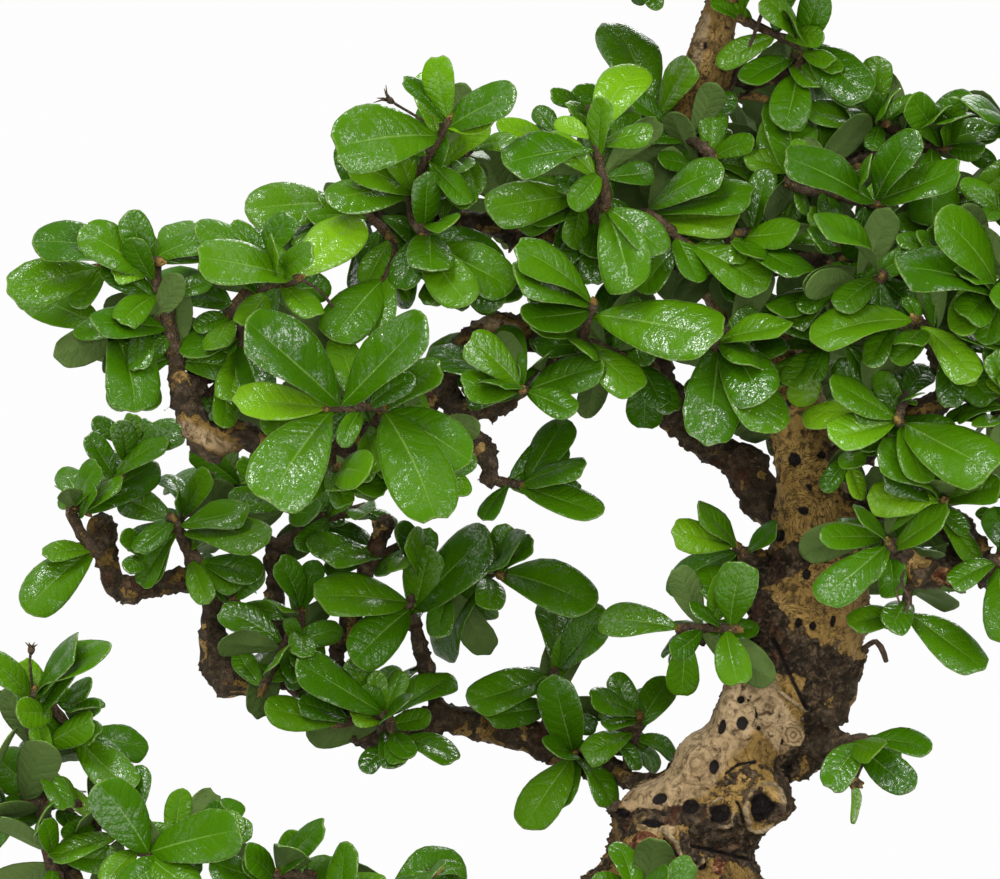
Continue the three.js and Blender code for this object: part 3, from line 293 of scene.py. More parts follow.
# Tufts that only the fine model has, added to the sprays above.
MORE_ROWS = {
    "pad_middle": [
        [590, 112, -6, (551, 93), (566, 120)], [548, 142, -8, (496, 124), (512, 148), (536, 108)],
        [588, 206, 2, (562, 252), (596, 250), (556, 214)],
        [602, 240, -8, (568, 288), (560, 262), (592, 286)]],
    "pad_left": [
        [470, 150, -10, (515, 140), (446, 152), (478, 196)],
        [426, 248, -22, (514, 286), (468, 304), (398, 306)],
        [430, 196, -16, (384, 126), (438, 132), (344, 162)],
        [470, 266, -16, (424, 302), (518, 302), (494, 314), (462, 312)]],
    "neck_front": [
        [772, 236, -8, (750, 196), (776, 190), (800, 206), (758, 216)],
        [790, 200, 4, (752, 206), (770, 222), (806, 196)]],
    "pad_edge": [
        [392, 240, -18, (364, 288), (344, 272)],
        [384, 284, -24, (350, 316), (332, 342), (372, 336), (410, 300)]],
    "left_tip": [[160, 262, -36, (262, 234), (192, 222)], [130, 364, -26, (116, 412), (152, 411)]],
    "low_tip": [
        [172, 528, 34, (142, 584), (126, 546)], [206, 568, 36, (236, 600), (262, 574)],
        [190, 510, 38, (166, 474), (180, 498), (206, 470)], [146, 566, 34, (122, 532), (124, 568)],
        [236, 602, 38, (264, 568), (246, 582)]],
    "low_back": [[206, 474, 40, (166, 486), (196, 512), (240, 492)], [366, 508, 34, (342, 514), (398, 522)]],
    "low_trunk": [[640, 716, 16, (592, 696), (602, 724)], [606, 742, 18, (662, 762), (640, 770), (650, 742)]],
    "top_twig": [
        [788, 96, -4, (778, 176), (806, 176), (768, 126), (808, 128)], [738, 18, -8, (711, 2), (748, -14)],
        [806, 42, -6, (868, 98), (846, 62), (834, 88)]],
    "upper_right_b": [
        [886, 124, -14, (866, 92), (914, 94), (872, 152)],
        [962, 146, -14, (998, 132), (994, 168), (924, 104), (956, 98)]],
    "right_front_b": [
        [982, 196, -24, (934, 204), (952, 230), (1012, 226), (1016, 180)],
        [934, 256, -36, (898, 238), (932, 226)], [930, 236, -18, (892, 212), (896, 248), (918, 262)]],
    "right_front_a": [
        [826, 298, -26, (770, 310), (792, 326), (838, 262)], [838, 244, -30, (792, 238), (808, 210)]],
    "right_middle_b": [[992, 424, -38, (946, 414), (1006, 442)]],
    "right_low_d": [[1006, 534, -28, (978, 508), (1012, 498)]],
    "right_fork": [
        [958, 352, -30, (930, 372), (1002, 342), (994, 404), (952, 408)],
        [808, 352, -18, (774, 384), (798, 408), (824, 376), (776, 344)]],
    "right_middle_a": [
        [902, 396, -30, (884, 366), (930, 366), (918, 404)],
        [846, 462, -24, (862, 500), (824, 492), (878, 452)]],
    "right_low_b": [[932, 508, -24, (894, 534), (968, 534), (940, 470)]],
    "right_low_a": [[878, 528, -18, (838, 522), (848, 546)]],
    "left_under": [[338, 468, -38, (386, 460), (386, 486)]],
    "left_heart": [[440, 470, -22, (468, 494), (450, 508)]],
    "left_bend": [
        [522, 390, -34, (432, 346), (470, 338), (462, 386)],
        [556, 358, -12, (526, 388), (530, 340), (578, 388)]],
    "left_crook": [
        [240, 350, -30, (228, 404), (262, 404), (224, 352)],
        [268, 262, -30, (196, 226), (232, 222), (292, 214)],
        [202, 406, -20, (234, 402), (176, 396), (212, 436)],
        [238, 312, -20, (188, 352), (202, 326), (224, 368)]],
    "crown_left": [[650, -22, -14, (632, 4), (656, 10), (624, -20)]],
    "trunk_front": [[748, 420, -14, (724, 436), (778, 412)]],
    "low_end": [
        [134, 446, 34, (92, 420), (132, 414), (182, 428), (98, 460)], [88, 512, 32, (62, 466), (58, 500)]],
    "low_fan": [
        [418, 568, 30, (402, 522), (430, 528)], [404, 546, 32, (376, 574), (440, 566)],
        [376, 560, 34, (306, 544), (324, 568)], [500, 576, 22, (504, 526), (532, 540)]],
    "low_left": [[300, 650, 30, (288, 618), (318, 686), (290, 690)]],
    "base_shoot": [
        [24, 796, -44, (2, 776), (0, 806), (40, 768)], [78, 712, -36, (104, 700), (60, 690)],
        [50, 690, -38, (110, 668), (84, 700)], [80, 806, -42, (54, 780), (88, 786)]],
    "base_fork": [
        [84, 838, -34, (56, 812), (102, 812), (60, 868), (104, 868)],
        [202, 860, -44, (236, 796), (248, 822), (222, 804)]],
    "base_left_c": [[436, 872, -44, (406, 884), (466, 866)], [282, 878, -44, (316, 826), (298, 832)]],
    "low_heart": [[376, 714, 34, (350, 660), (392, 666), (414, 662)]],
    "trunk_low": [[857, 784, -9, (860, 824)]],
}

# Places between the leaves, where the photograph shows none, as [x, y, x, y, radius].
OPEN_ZONES = [
    [60, 60, 250, 70, 95], [300, 20, 420, -20, 60], [480, 10, 560, 30, 42], [668, 50, 662, 96, 16],
    [752, 112, 752, 136, 10], [960, 20, 1000, 70, 34], [920, 0, 960, 20, 40], [20, 120, 10, 200, 30],
    [16, 400, 30, 440, 40], [10, 510, 0, 560, 30], [640, 480, 590, 560, 40], [690, 490, 640, 540, 34],
    [640, 420, 610, 430, 26], [130, 650, 170, 640, 30], [170, 700, 300, 790, 34], [300, 790, 460, 820, 34],
    [500, 640, 530, 650, 16], [560, 850, 520, 860, 40], [470, 820, 420, 800, 36], [640, 660, 660, 676, 8],
    [660, 712, 690, 700, 10], [880, 700, 960, 700, 32], [800, 840, 1000, 850, 50], [960, 690, 1000, 700, 30],
    [340, 860, 396, 862, 16], [150, 780, 170, 800, 12], [450, 330, 440, 318, 10], [520, 365, 530, 358, 6],
    [90, 540, 120, 620, 10], [40, 620, 120, 620, 14], [700, 590, 740, 590, 4], [860, 680, 900, 690, 16],
    [500, 400, 510, 440, 10], [600, 400, 640, 400, 14], [340, 280, 330, 256, 8], [300, 522, 316, 530, 8],
    [240, 632, 276, 642, 8], [0, 720, 14, 760, 8], [110, 840, 130, 846, 8], [660, 80, 678, 60, 10],
    [744, 112, 758, 136, 8], [8, 745, 22, 800, 10], [70, 775, 96, 790, 8],
]

# Where the tips of the young, bright leaves are seen, and of those that sparkle most.
TIP_REACH = 16
YOUNG_TIPS = [
    (112, 277), (358, 214), (436, 58), (235, 396), (497, 118), (556, 121), (640, 62), (740, 228), (976, 380),
    (830, 437), (802, 408), (868, 497), (672, 531), (352, 716), (38, 662), (859, 823), (62, 788), (455, 490),
]
SPARKLING_TIPS = [(722, 335), (722, 168), (792, 328), (897, 268), (428, 318), (267, 506)]

# Bark on the wood's front, as [x, y, x, y, radius] in the photograph's pixels.
DARK_ZONES = [
    [765, 645, 850, 678, 24], [825, 690, 822, 745, 26], [820, 745, 786, 768, 15], [745, 590, 774, 622, 15],
    [625, 824, 690, 814, 14], [690, 812, 735, 830, 17], [716, 838, 765, 855, 24], [690, 845, 640, 900, 12],
    [640, 930, 700, 960, 60], [745, 575, 800, 560, 18], [690, 258, 720, 330, 14], [845, 700, 800, 760, 20],
]
BLEACHED_ZONES = [
    [742, 690, 655, 800, 46], [760, 700, 785, 735, 24], [720, 690, 700, 760, 30], [700, 280, 742, 316, 12],
    [184, 430, 230, 452, 10], [480, 320, 516, 330, 8], [706, 20, 694, 70, 7],
]
TAN_ZONES = [
    [694, 272, 747, 319, 20], [475, 318, 522, 332, 14], [180, 427, 235, 455, 14], [806, 590, 855, 625, 26],
    [664, 832, 690, 876, 6], [798, 430, 816, 520, 26], [720, -20, 700, 90, 22],
]
# Painted light on the upper trunk, which the leaves above shade, as [x, y, x, y, radius].
PAINTED_LIGHT_ZONES = [[800, 400, 818, 540, 70]]

# Holes and cut knots on the trunk's front: [x, y, half width, half height, turn in degrees, depth, lip].
# Places and widths are in the photograph's pixels, depths and the heights of the lips in mm.
HOLES = [
    [740, 700, 5, 4.6, 0, 1.3, 0.1], [748, 701, 1.7, 1.7, 0, 0.5, 0], [721, 727, 5.5, 9, 8, 0.8, 0.2],
    [742, 724, 7.5, 9.5, 0, 0.5, 0], [756, 714, 1.6, 6, -8, 0.4, 0], [759, 729, 2.8, 2.6, 0, 0.8, 0],
    [714, 767, 5.6, 8.6, 5, 1.1, 0.35], [764, 808, 15, 20, 14, 2.2, 1.7], [721, 814, 11, 11, 0, 1.1, 0.8],
    [690, 807, 9, 8, 0, 0.7, 0.1], [659, 799, 9.5, 6, -28, 0.8, 0.3], [652, 824, 14, 6, 8, 0.9, 0.3],
    [624, 814, 8, 7, 0, 0.7, 0.2], [702, 865, 6, 7, 0, 1.2, 0.8], [798, 623, 4.5, 5.5, 0, 0.8, 0.4],
    [813, 627, 4.2, 5, 0, 0.8, 0.4], [834, 622, 3.4, 7, 12, 0.8, 0.3], [794, 460, 8, 9, 0, 0.9, 0.5],
    [821, 455, 5.5, 6, 0, 0.8, 0.4], [803, 511, 6, 6, 0, 0.7, 0.4], [781, 536, 6, 7, 0, 0.7, 0.4],
    [806, 575, 5, 6, 0, 0.7, 0.3], [826, 560, 4, 4, 0, 0.5, 0.2], [809, 488, 3, 3.5, 0, 0.5, 0.2],
    [720, 292, 5, 4, 0, 0.8, 0.3], [688, 150, 4, 5, 0, 0.6, 0.3], [704, 46, 3, 3, 0, 0.5, 0.2],
]

# Healed scars with rings of wood: [x, y, half width, half height, height in mm, how red].
SCARS = [[793, 735, 12, 12, 0.7, 0], [645, 849, 16, 18, 0.8, 1], [718, 867, 6, 9, 0.3, 1],
         [945, 577, 12, 10, 0.4, 1]]

# Creases and ridges in the bark: [x, y, x, y, half width, depth]. A ridge has a depth below 0.
CREASES = [
    [726, 774, 738, 765, 1.6, 0.5], [738, 765, 756, 762, 1.6, 0.5], [773, 640, 806, 708, 2.4, 0.6],
    [736, 802, 744, 822, 1.6, 0.8], [664, 831, 676, 843, 3, -0.8], [676, 843, 687, 874, 3, -0.8],
    [664, 839, 680, 860, 2, 0.8], [752, 671, 805, 711, 2, -0.6], [786, 728, 782, 745, 1.4, 0.4],
    [690, 846, 760, 862, 2, 0.8], [700, 690, 704, 668, 2, 0.3],
]

# Lumps that stand out of the trunk's outline: [x, y, depth, radius]. They lean in towards its middle.
LUMPS = [
    [853, 690, -4, 4.2], [861, 674, -2, 2.6], [606, 812, -8, 3.2], [600, 850, -10, 3], [862, 655, -2, 2.4],
    [834, 720, -10, 3], [846, 715, -4, 3.4], [728, 600, 2, 2.4], [870, 628, 0, 2.2], [866, 596, 0, 2],
    [812, 732, -4, 6], [816, 754, -2, 5], [800, 768, -4, 4],
]
TRUNK_PIXEL = 790
TRUNK_LEFT_PIXEL = 760

# Hollows in the trunk's outline: [x, y, radius in pixels, depth in mm].
HOLLOWS = [
    [648, 752, 46, 5.5], [590, 850, 60, 3.6], [790, 858, 48, 7.5], [704, 668, 40, 4.6], [686, 708, 48, 6.5],
    [712, 480, 40, 1.6],
]

# Thin dead twigs: (radius in mm, its rows of [x, y, depth]).
DEAD_TWIGS = [
    (0.5, [[742, -52, -2], [762, -30, -9], [766, -4, -11], [757, 28, -10], [741, 66, -6], [725, 107, 1]]),
    (0.35, [[905, 559, -29], [904, 572, -32], [902, 584, -34], [909, 600, -36], [906, 612, -38]]),
    (0.3, [[902, 584, -34], [896, 592, -35], [900, 604, -34]]),
    (0.7, [[862, 650, -4], [876, 642, -8], [884, 654, -8], [886, 662, -7]]),
    (0.4, [[298, 279, -41], [318, 290, -38], [334, 308, -34]]),
    (0.35, [[96, 828, -40], [103, 846, -44], [98, 864, -46]]),
]

# Dry flower cups: (how long their points are in mm, the rows of [x, y, depth] of their stalks).
CUPS = [
    (3.0, [[447, 125, -28], [430, 124, -25], [410, 113, -23], [398, 106, -23], [392, 102, -23]]),
    (1.7, [[33, 692, -47], [31, 674, -49], [30, 660, -50], [31, 653, -50]]),
]
CUP_POINTS = 6
CUP_STALK = 0.36

# The mark of the bark on each kind of twig: how dark it is, with no painted shade of a hole and no lip.
DARKNESS = {"stem": (0.62, 0, 0), "bud": (0.3, 0, 0), "dead twig": (0.95, 0, 0), "cup": (0.85, 0, 0)}
BUD_SCALES = 3

# The wood's limbs: the steps in mm along them, the sides round them, how gnarled and lumpy they are, and how
# many of their first rows have no stubs.
TRUNK_SHAPE = {"step": 2.4, "sides": 44}
LIMB_SHAPE = {"step": 2.0, "sides": 16, "gnarl": 0.13, "lumps": 0.12, "bare": 8}
TWIG_SHAPE = {"step": 1.8, "sides": 12, "gnarl": 0.15, "lumps": 0.14, "bare": 0}
ROOT_SHAPE = {"step": 2.0, "sides": 18, "lumps": 0.05}

# Noise in the bark: (features per mm, seed, octaves).
BARK_NOISE = {"broad": (0.045, 1, 1), "middling": (0.16, 2, 3), "fine": (0.6, 3, 2)}
WOOD_CELL = 0.95
WOOD_SHARE = 0.5
FINE_ROWS = (560, 900)
TWIG_STEP = 1.2
STUB_EVERY = 7
SPUR_EVERY = 14.0
SPUR_REACH = {"front": 17.0, "back": 21.0}
SPUR_LEAVES = 3
GRAINS = 5200
BARE_SOIL = (0.1, 0.5, 0)
GRAIN = {"smallest": 0.7, "spread": 1.9, "few large": 2.2, "wide": (0.7, 1.25), "flat": (0.5, 0.9),
         "lumps": (0.78, 1.15), "proud": 0.25, "longest side": 1.2}
GRAIN_CORNER = 16
SEEDS = {"wood": 3, "twigs": 7, "soil": 11}

# What a leaf's numbers of spray, tuft and leaf are multiplied by, to seed its own chances.
LEAF_SEED = (10007, 101, 1)

# A leaf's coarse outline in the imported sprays: share of the length, half width in leaf widths, and lift.
OUTLINE = [(0.38, 0.7, 0.045), (0.72, 1, 0.05), (1, 0.4, -0.03)]
SHORT_OUTLINE = [(0.6, 0.98, 0.05), (1, 0.44, -0.03)]
BLADE_THICKNESS = 0.7
MATCH_DISTANCE = 0.03
OUTER_SHARE = 0.35

# The fine leaf: how far along and across its rows and columns of points lie.
ROWS = np.array([0, 0.06, 0.15, 0.27, 0.41, 0.55, 0.68, 0.80, 0.90, 0.965, 1])
COLUMNS = np.array([-1, -0.86, -0.5, -0.1, 0, 0.1, 0.5, 0.86, 1])
LAST_EDGE = 0.9
LEAF_HALF_THICKNESS = 0.19
FINE_WIDTH = 0.88
STALK_WIDTH = 0.07

# A fine leaf's own shape: the lowest and the highest of each value, or a middle and a spread. Slender and
# blunt are powers, phase, roll and twist are in radians, and the others are shares of its length or width.
LEAF_RANGES = {"slender": (0.62, 0.92), "blunt": (2.0, 3.2), "arch": (0.08, 0.26), "ripple": (0.1, 1),
               "curl": (0.05, 0.3), "droop": (-0.03, 0.09), "bow": (-0.16, 0.16), "phase": (0, 6.3)}
LEAF_SPREADS = {"roll": (0, 0.14), "fold": (0.3, 0.14), "twist": (0, 0.22)}
TOOTH_DEPTH = 0.026
NOTCH = {"chance": 0.22, "depth": 0.035}
RIB = {"depth": 0.3, "width": 0.1}

TOOTH_COLUMNS = np.isin(np.arange(len(COLUMNS)), [2, 6])
NOTCH_COLUMNS = np.isin(np.arange(len(COLUMNS)), [3, 4, 5])
TOOTH_ROWS = np.isin(np.arange(len(ROWS)), [6, 8])

BACKDROP_WHITE = 0.985
AMBIENT = 0.69
FLOOR = {"matte": 0.55, "white": 1.15, "color": (0.86, 0.86, 0.86), "corners": 96,
         "rings": (200.0, 400.0, 800.0, 1600.0, 20000.0)}
LIGHTS_AIM = Vector((0.0, 0.0, 0.24))

# Round studio lights: (name, place, width in metres, watts).
LIGHTS = [
    ("key", (-0.75, -1.25, 1.45), 0.55, 15), ("fill", (1.3, -1.2, 0.8), 1.0, 13),
    ("rim", (0.4, 1.4, 1.3), 0.9, 12), ("top", (-0.3, -0.55, 1.7), 0.5, 11),
    ("front", (0.2, -1.8, 0.45), 0.5, 7),
]

SPECULAR = {"leaf": 0.05, "bark": 0.12, "clay": 0.35, "soil": 0.25}
LEAF_COAT = {"roughness": 0.09, "ior": 1.9}

# Colours. A ramp is a row of (level, colour).
LEAF_RAMPS = {
    "old": [(0.15, (0.024, 0.083, 0.0005)), (0.5, (0.033, 0.112, 0.0005)), (0.85, (0.050, 0.146, 0.001))],
    "fresh": [(0.2, (0.105, 0.27, 0.003)), (0.8, (0.18, 0.37, 0.008))],
}
LEAF_COLORS = {
    "side vein": (0.09, 0.21, 0.01), "rib": (0.19, 0.32, 0.06), "margin": (0.24, 0.34, 0.09),
    "fleck": (0.11, 0.22, 0.03), "dark underside": (0.06, 0.105, 0.022),
    "pale underside": (0.11, 0.17, 0.045),
}
BARK_RAMPS = {
    "tan": [(0.32, (0.115, 0.066, 0.015)), (0.5, (0.24, 0.146, 0.038)), (0.68, (0.39, 0.25, 0.086))],
    "bleached": [(0.3, (0.24, 0.158, 0.075)), (0.6, (0.44, 0.32, 0.175))],
    "black": [(0.3, (0.006, 0.005, 0.0035)), (0.5, (0.036, 0.025, 0.014)), (0.66, (0.15, 0.10, 0.055))],
    "lip": [(0.35, (0.07, 0.042, 0.02)), (0.6, (0.33, 0.25, 0.14))],
    "scar": [(0.06, (0.15, 0.095, 0.04)), (0.35, (0.33, 0.235, 0.12))],
    "red scar": [(0.38, (0.035, 0.010, 0.006)), (0.52, (0.13, 0.045, 0.018)), (0.66, (0.40, 0.23, 0.10))],
}
BARK_COLORS = {
    # On the next line, the first colour is painted light on the upper trunk, which the leaves above shade, and
    # the third painted shade in the cracks.
    "painted light tan": (0.42, 0.262, 0.07), "stain": (0.060, 0.034, 0.010), "shaded_crack": (0.035, 0.02, 0.01),
    "grain": (0.05, 0.028, 0.010), "pore": (0.03, 0.018, 0.012), "limb": (0.085, 0.062, 0.036),
    # On the next line, the second colour is a painted highlight on the bark's raised edges, the third painted
    # shade, near black, in its holes and creases.
    "rust": (0.10, 0.032, 0.014), "edge_highlight": (0.17, 0.12, 0.08), "recess_shade": (0.010, 0.0075, 0.006),
}
CLAY_RAMP = [(0.3, (0.058, 0.030, 0.020)), (0.55, (0.095, 0.050, 0.032)), (0.75, (0.135, 0.075, 0.048))]
CLAY_COLORS = {"speck": (0.018, 0.011, 0.009), "worn": (0.23, 0.14, 0.095)}
SOIL_RAMPS = {
    "humus": [(0.3, (0.008, 0.005, 0.004)), (0.6, (0.035, 0.022, 0.014)), (0.8, (0.09, 0.06, 0.04))],
    "grit": [(0.0, (0.05, 0.028, 0.018)), (0.35, (0.13, 0.075, 0.042)), (0.6, (0.24, 0.16, 0.095)),
             (0.8, (0.15, 0.14, 0.13)), (1.0, (0.34, 0.27, 0.2))],
}
SOIL_COLORS = {"dark": (0.02, 0.014, 0.011), "crumb": (0.05, 0.033, 0.022)}


def seen(x, y, depth):
    """A point of the tree, from where the photograph shows it."""
    scale = MM_PER_PIXEL * (depth - EYE[1]) / -EYE[1]
    return np.array([EYE[0] + (x - PHOTO_MIDDLE[0]) * scale, depth, EYE[2] - (y - PHOTO_MIDDLE[1]) * scale])


def pixels_of(points):
    """Where the photograph would show each of a row of points."""
    scale = MM_PER_PIXEL * (points[:, 1] - EYE[1]) / -EYE[1]
    return np.stack([PHOTO_MIDDLE[0] + (points[:, 0] - EYE[0]) / scale,
                     PHOTO_MIDDLE[1] - (points[:, 2] - EYE[2]) / scale], 1)


def smooth_step(low, high, values):
    t = np.clip((values - low) / (high - low), 0, 1)
    return t * t * (3 - 2 * t)


def metres(points):
    return np.asarray(points, float) / MM_PER_METRE + SHIFT


def unit(vector):
    return vector / np.linalg.norm(vector)


def times(a, b):
    """The product of two whole numbers, kept to 32 bits."""
    return (a * b) & 0xFFFFFFFF


def draw(spray, tuft, leaf, use):
    """A fixed draw from 0 to 1 for each set of four whole numbers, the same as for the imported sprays."""
    mixed = 0
    for number, factor in zip((spray, tuft, leaf, use), DRAW_FACTORS):
        mixed ^= times(number + 1, factor)
    mixed = times(mixed ^ (mixed >> 15), DRAW_MIXERS[0])
    mixed = times(mixed ^ (mixed >> 12), DRAW_MIXERS[1])
    return (mixed ^ (mixed >> 15)) / 4294967296


def tuft_of(row):
    """A tuft's place, with its leaves' tips or with how many leaves it has."""
    at, rest = row[:3], row[3:]
    return {"at": at, "tips": rest} if isinstance(rest[0], tuple) else {"at": at, "leaves": rest[0]}


SPRAYS = {name: {"from": start, "stem": radius, "tufts": [tuft_of(row) for row in rows]}
          for name, (start, radius, rows) in SPRAY_ROWS.items()}
MORE_TUFTS = {name: [tuft_of(row) for row in rows] for name, rows in MORE_ROWS.items()}


def stems_of(spray):
    """The stems of a spray, as chains of (point, radius), and the (end, way) of the stem at each tuft."""
    root = (seen(*spray["from"]), spray["stem"])
    grown = []
    chains = [[root]]
    shoots = []
    for tuft in spray["tufts"]:
        point = seen(*tuft["at"])
        start = min(grown or [root], key=lambda other: np.linalg.norm(other[0] - point))
        end = (point, max(start[1] * STEM["taper"], STEM["thinnest"]))
        chain = next((points for points in chains if points[-1] is start), None)
        if chain:
            chain.append(end)
        else:
            chains.append([start, end])
        grown.append(end)
        shoots.append((point, unit(point - start[0])))
    return chains, shoots


def leaf_seen(tuft, base, ids, bend):
    """The leaf that the photograph shows from its tuft to a tip."""
    tip = tuft["tips"][ids[2]]
    depth = tuft["at"][2]
    apparent = np.linalg.norm(base - seen(*tip, depth))
    length = min(apparent * (1.04 + 0.22 * draw(*ids, 0)), max(LEAF["longest"], apparent))
    towards = -1 if draw(*ids, 1) < 0.7 else 1
    forward = towards * math.sqrt(max(length ** 2 - apparent ** 2, 0)) + bend * BEND_DEPTH
    face = np.array([0.5 * (draw(*ids, 2) - 0.5), LEAF_SIDE[1], LEAF_SIDE[2]])
    return base, seen(*tip, depth + forward), face


def leaf_between(tuft, base, ids, bend):
    """A further leaf, short or turned away, that the photograph would show between two others."""
    tips = tuft["tips"]
    x, y, depth = tuft["at"]
    share = 0.25 + 0.5 * draw(*ids, 0)
    reach = 0.5 + 0.45 * draw(*ids, 3)
    first, second = tips[ids[2] % len(tips)], tips[(ids[2] + 1) % len(tips)]
    tip = [middle + reach * ((1 - share) * a + share * b - middle)
           for a, b, middle in zip(first, second, (x, y))]
    apparent = np.linalg.norm(base - seen(*tip, depth))
    length = max(apparent * 1.06, 0.75 * LEAF["shortest"])
    towards = -1 if draw(*ids, 1) < 0.4 else 1
    forward = towards * math.sqrt(length ** 2 - apparent ** 2) + bend * BEND_DEPTH
    face = np.array([0.8 * (draw(*ids, 2) - 0.5), BETWEEN_SIDE[1], BETWEEN_SIDE[2]])
    return base, seen(*tip, depth + forward), face


def turned_leaf(base, axis, ids, rise, length):
    """A leaf that stands round an axis at a rise from the plane across it."""
    across = unit(np.cross([0, 0, 1], axis))
    other = np.cross(axis, across)
    turn = 2 * math.pi * draw(ids[0], ids[1], 0, 5) + GOLDEN_ANGLE * ids[2]
    direction = (across * math.cos(turn) + other * math.sin(turn)) * math.cos(rise) + axis * math.sin(rise)
    return base, base + direction * length, axis


def leaf_of_spur(tuft, base, ids, bend):
    """A leaf of a short side shoot, turned to the light in front of the crown or behind it."""
    lean = 0.9 * (draw(ids[0], ids[1], 0, 6) - 0.5)
    axis = unit(np.array([lean, -1.0 if tuft["in_front"] else 0.8, 0.45]))
    rise = 0.08 + 0.45 * draw(*ids, 1) + bend * BEND_ANGLE
    length = tuft["reach"] * (0.75 + 0.4 * draw(*ids, 3))
    return turned_leaf(base, axis, ids, rise, length)


def leaf_round(base, ids, bend):
    """A leaf that stands round its tuft, whose middle points out of the crown and up."""
    heart = CROWN_MIDDLE + [0, 0, base[2]]
    axis = unit(unit(base - heart) + [0, 0, 0.6])
    rise = 0.25 + 0.5 * draw(*ids, 1) + bend * BEND_ANGLE
    length = LEAF["shortest"] + LEAF["spread"] * draw(*ids, 3)
    return turned_leaf(base, axis, ids, rise, length)


def leaf_at(tuft, shoot, ids, bend):
    """A leaf of a tuft as (base, tip, face, half width in lengths). Leaves stand one behind the other."""
    point, way = shoot
    base = point - way * (ids[2] + 0.5) * LEAF_STEP
    half_width = LEAF_WIDTH["half"] + LEAF_WIDTH["spread"] * draw(*ids, 4)
    if "reach" in tuft:
        leaf = leaf_of_spur(tuft, base, ids, bend)
        half_width *= LEAF_WIDTH["spur"]
    elif ids[2] < len(tuft.get("tips", [])):
        leaf = leaf_seen(tuft, base, ids, bend)
    elif "tips" in tuft:
        leaf = leaf_between(tuft, base, ids, bend)
    else:
        leaf = leaf_round(base, ids, bend)
    return (*leaf, half_width)


def leaf_axes(leaf):
    """A leaf's length and its ways along, up and sideways."""
    base, tip, face, _ = leaf
    length = np.linalg.norm(tip - base)
    along = (tip - base) / length
    up = unit(face - along * np.dot(face, along))
    return length, along, up, np.cross(up, along)


def coarse_rim(leaf):
    """The left and right points of a leaf's coarse outline."""
    base, _, _, half_width = leaf
    length, along, up, side = leaf_axes(leaf)
    outline = OUTLINE if length > LEAF["small"] else SHORT_OUTLINE
    middles = [base + along * share * length + up * lift * length for share, _, lift in outline]
    reaches = [side * across * length * half_width for _, across, _ in outline]
    left = [middle + reach for middle, reach in zip(middles, reaches)]
    right = [middle - reach for middle, reach in zip(middles, reaches)]
    return left, right


def packed_bend(tuft, shoot, ids, packed_points):
    """The bend in which a leaf stands in its packed spray, or None where it isn't there."""
    for bend in BENDS:
        leaf = leaf_at(tuft, shoot, ids, bend)
        left, right = coarse_rim(leaf)
        up = leaf_axes(leaf)[2]
        for corner in (left[-1], right[-1]):
            for lift in (0.5, -0.5):
                near = packed_points.find(Vector(corner + up * lift * BLADE_THICKNESS))
                if near[2] < MATCH_DISTANCE:
                    return bend
    return None


def tree_frame_points(vertices, kind="co"):
    """One vector of each vertex: its place in mm in the tree's own frame, or its normal."""
    values = np.empty(len(vertices) * 3)
    vertices.foreach_get(kind, values)
    values = values.reshape(-1, 3)
    return (values - SHIFT) * MM_PER_METRE if kind == "co" else values


def packed_points_of(node_name):
    """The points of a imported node, ready to be searched."""
    points = tree_frame_points(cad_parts[node_name].data.vertices)
    tree = kdtree.KDTree(len(points))
    for i, point in enumerate(points):
        tree.insert(point, i)
    tree.balance()
    return tree


class Soup:
    """Points, faces and marks that are gathered into one mesh."""

    def __init__(self):
        self.points = []
        self.faces = []
        self.marks = {}
        self.count = 0

    def add(self, points, *face_groups, **marks):
        """Adds points in mm and groups of faces on them, with each mark's values for the points."""
        self.points.append(points)
        for faces in face_groups:
            self.faces.extend((np.asarray(faces) + self.count).tolist())
        for name, values in marks.items():
            self.marks.setdefault(name, []).append(values)
        self.count += len(points)

    def add_rings(self, rings, **marks):
        """Adds a skin over rings of points, closed at its first and its last ring."""
        size = len(rings[0])
        ends = [np.arange(size)[::-1], np.arange(size) + (len(rings) - 1) * size]
        self.add(np.concatenate(rings), ring_faces(len(rings), size), ends, **marks)

    def piece(self, name, material):
        """The gathered mesh as a smooth object in metres."""
        mesh = bpy.data.meshes.new(name)
        mesh.from_pydata(metres(np.concatenate(self.points)).tolist(), [], self.faces)
        for mark, values in self.marks.items():
            set_mark(mesh, mark, np.concatenate(values))
        mesh.shade_smooth()
        mesh.materials.append(material)
        made = bpy.data.objects.new(name, mesh)
        bpy.context.scene.collection.objects.link(made)
        return made


def ring_faces(ring_count, size):
    """The quads of a skin over rings of points."""
    at = np.arange(ring_count * size).reshape(ring_count, size)
    following = np.roll(at, -1, axis=1)
    return np.stack([at[:-1], following[:-1], following[1:], at[1:]], -1).reshape(-1, 4)


def set_mark(mesh, name, values):
    """Gives each point of a mesh a mark of three values, which a material can read."""
    attribute = mesh.attributes.new(name, "FLOAT_VECTOR", "POINT")
    attribute.data.foreach_set("vector", values.astype(np.float32).ravel())


def apply_modifiers(thing):
    """Gives a thing the mesh that its modifiers make, and takes them off."""
    bpy.context.view_layer.update()
    made = bpy.data.meshes.new_from_object(thing.evaluated_get(bpy.context.evaluated_depsgraph_get()))
    thing.modifiers.clear()
    thing.data = made


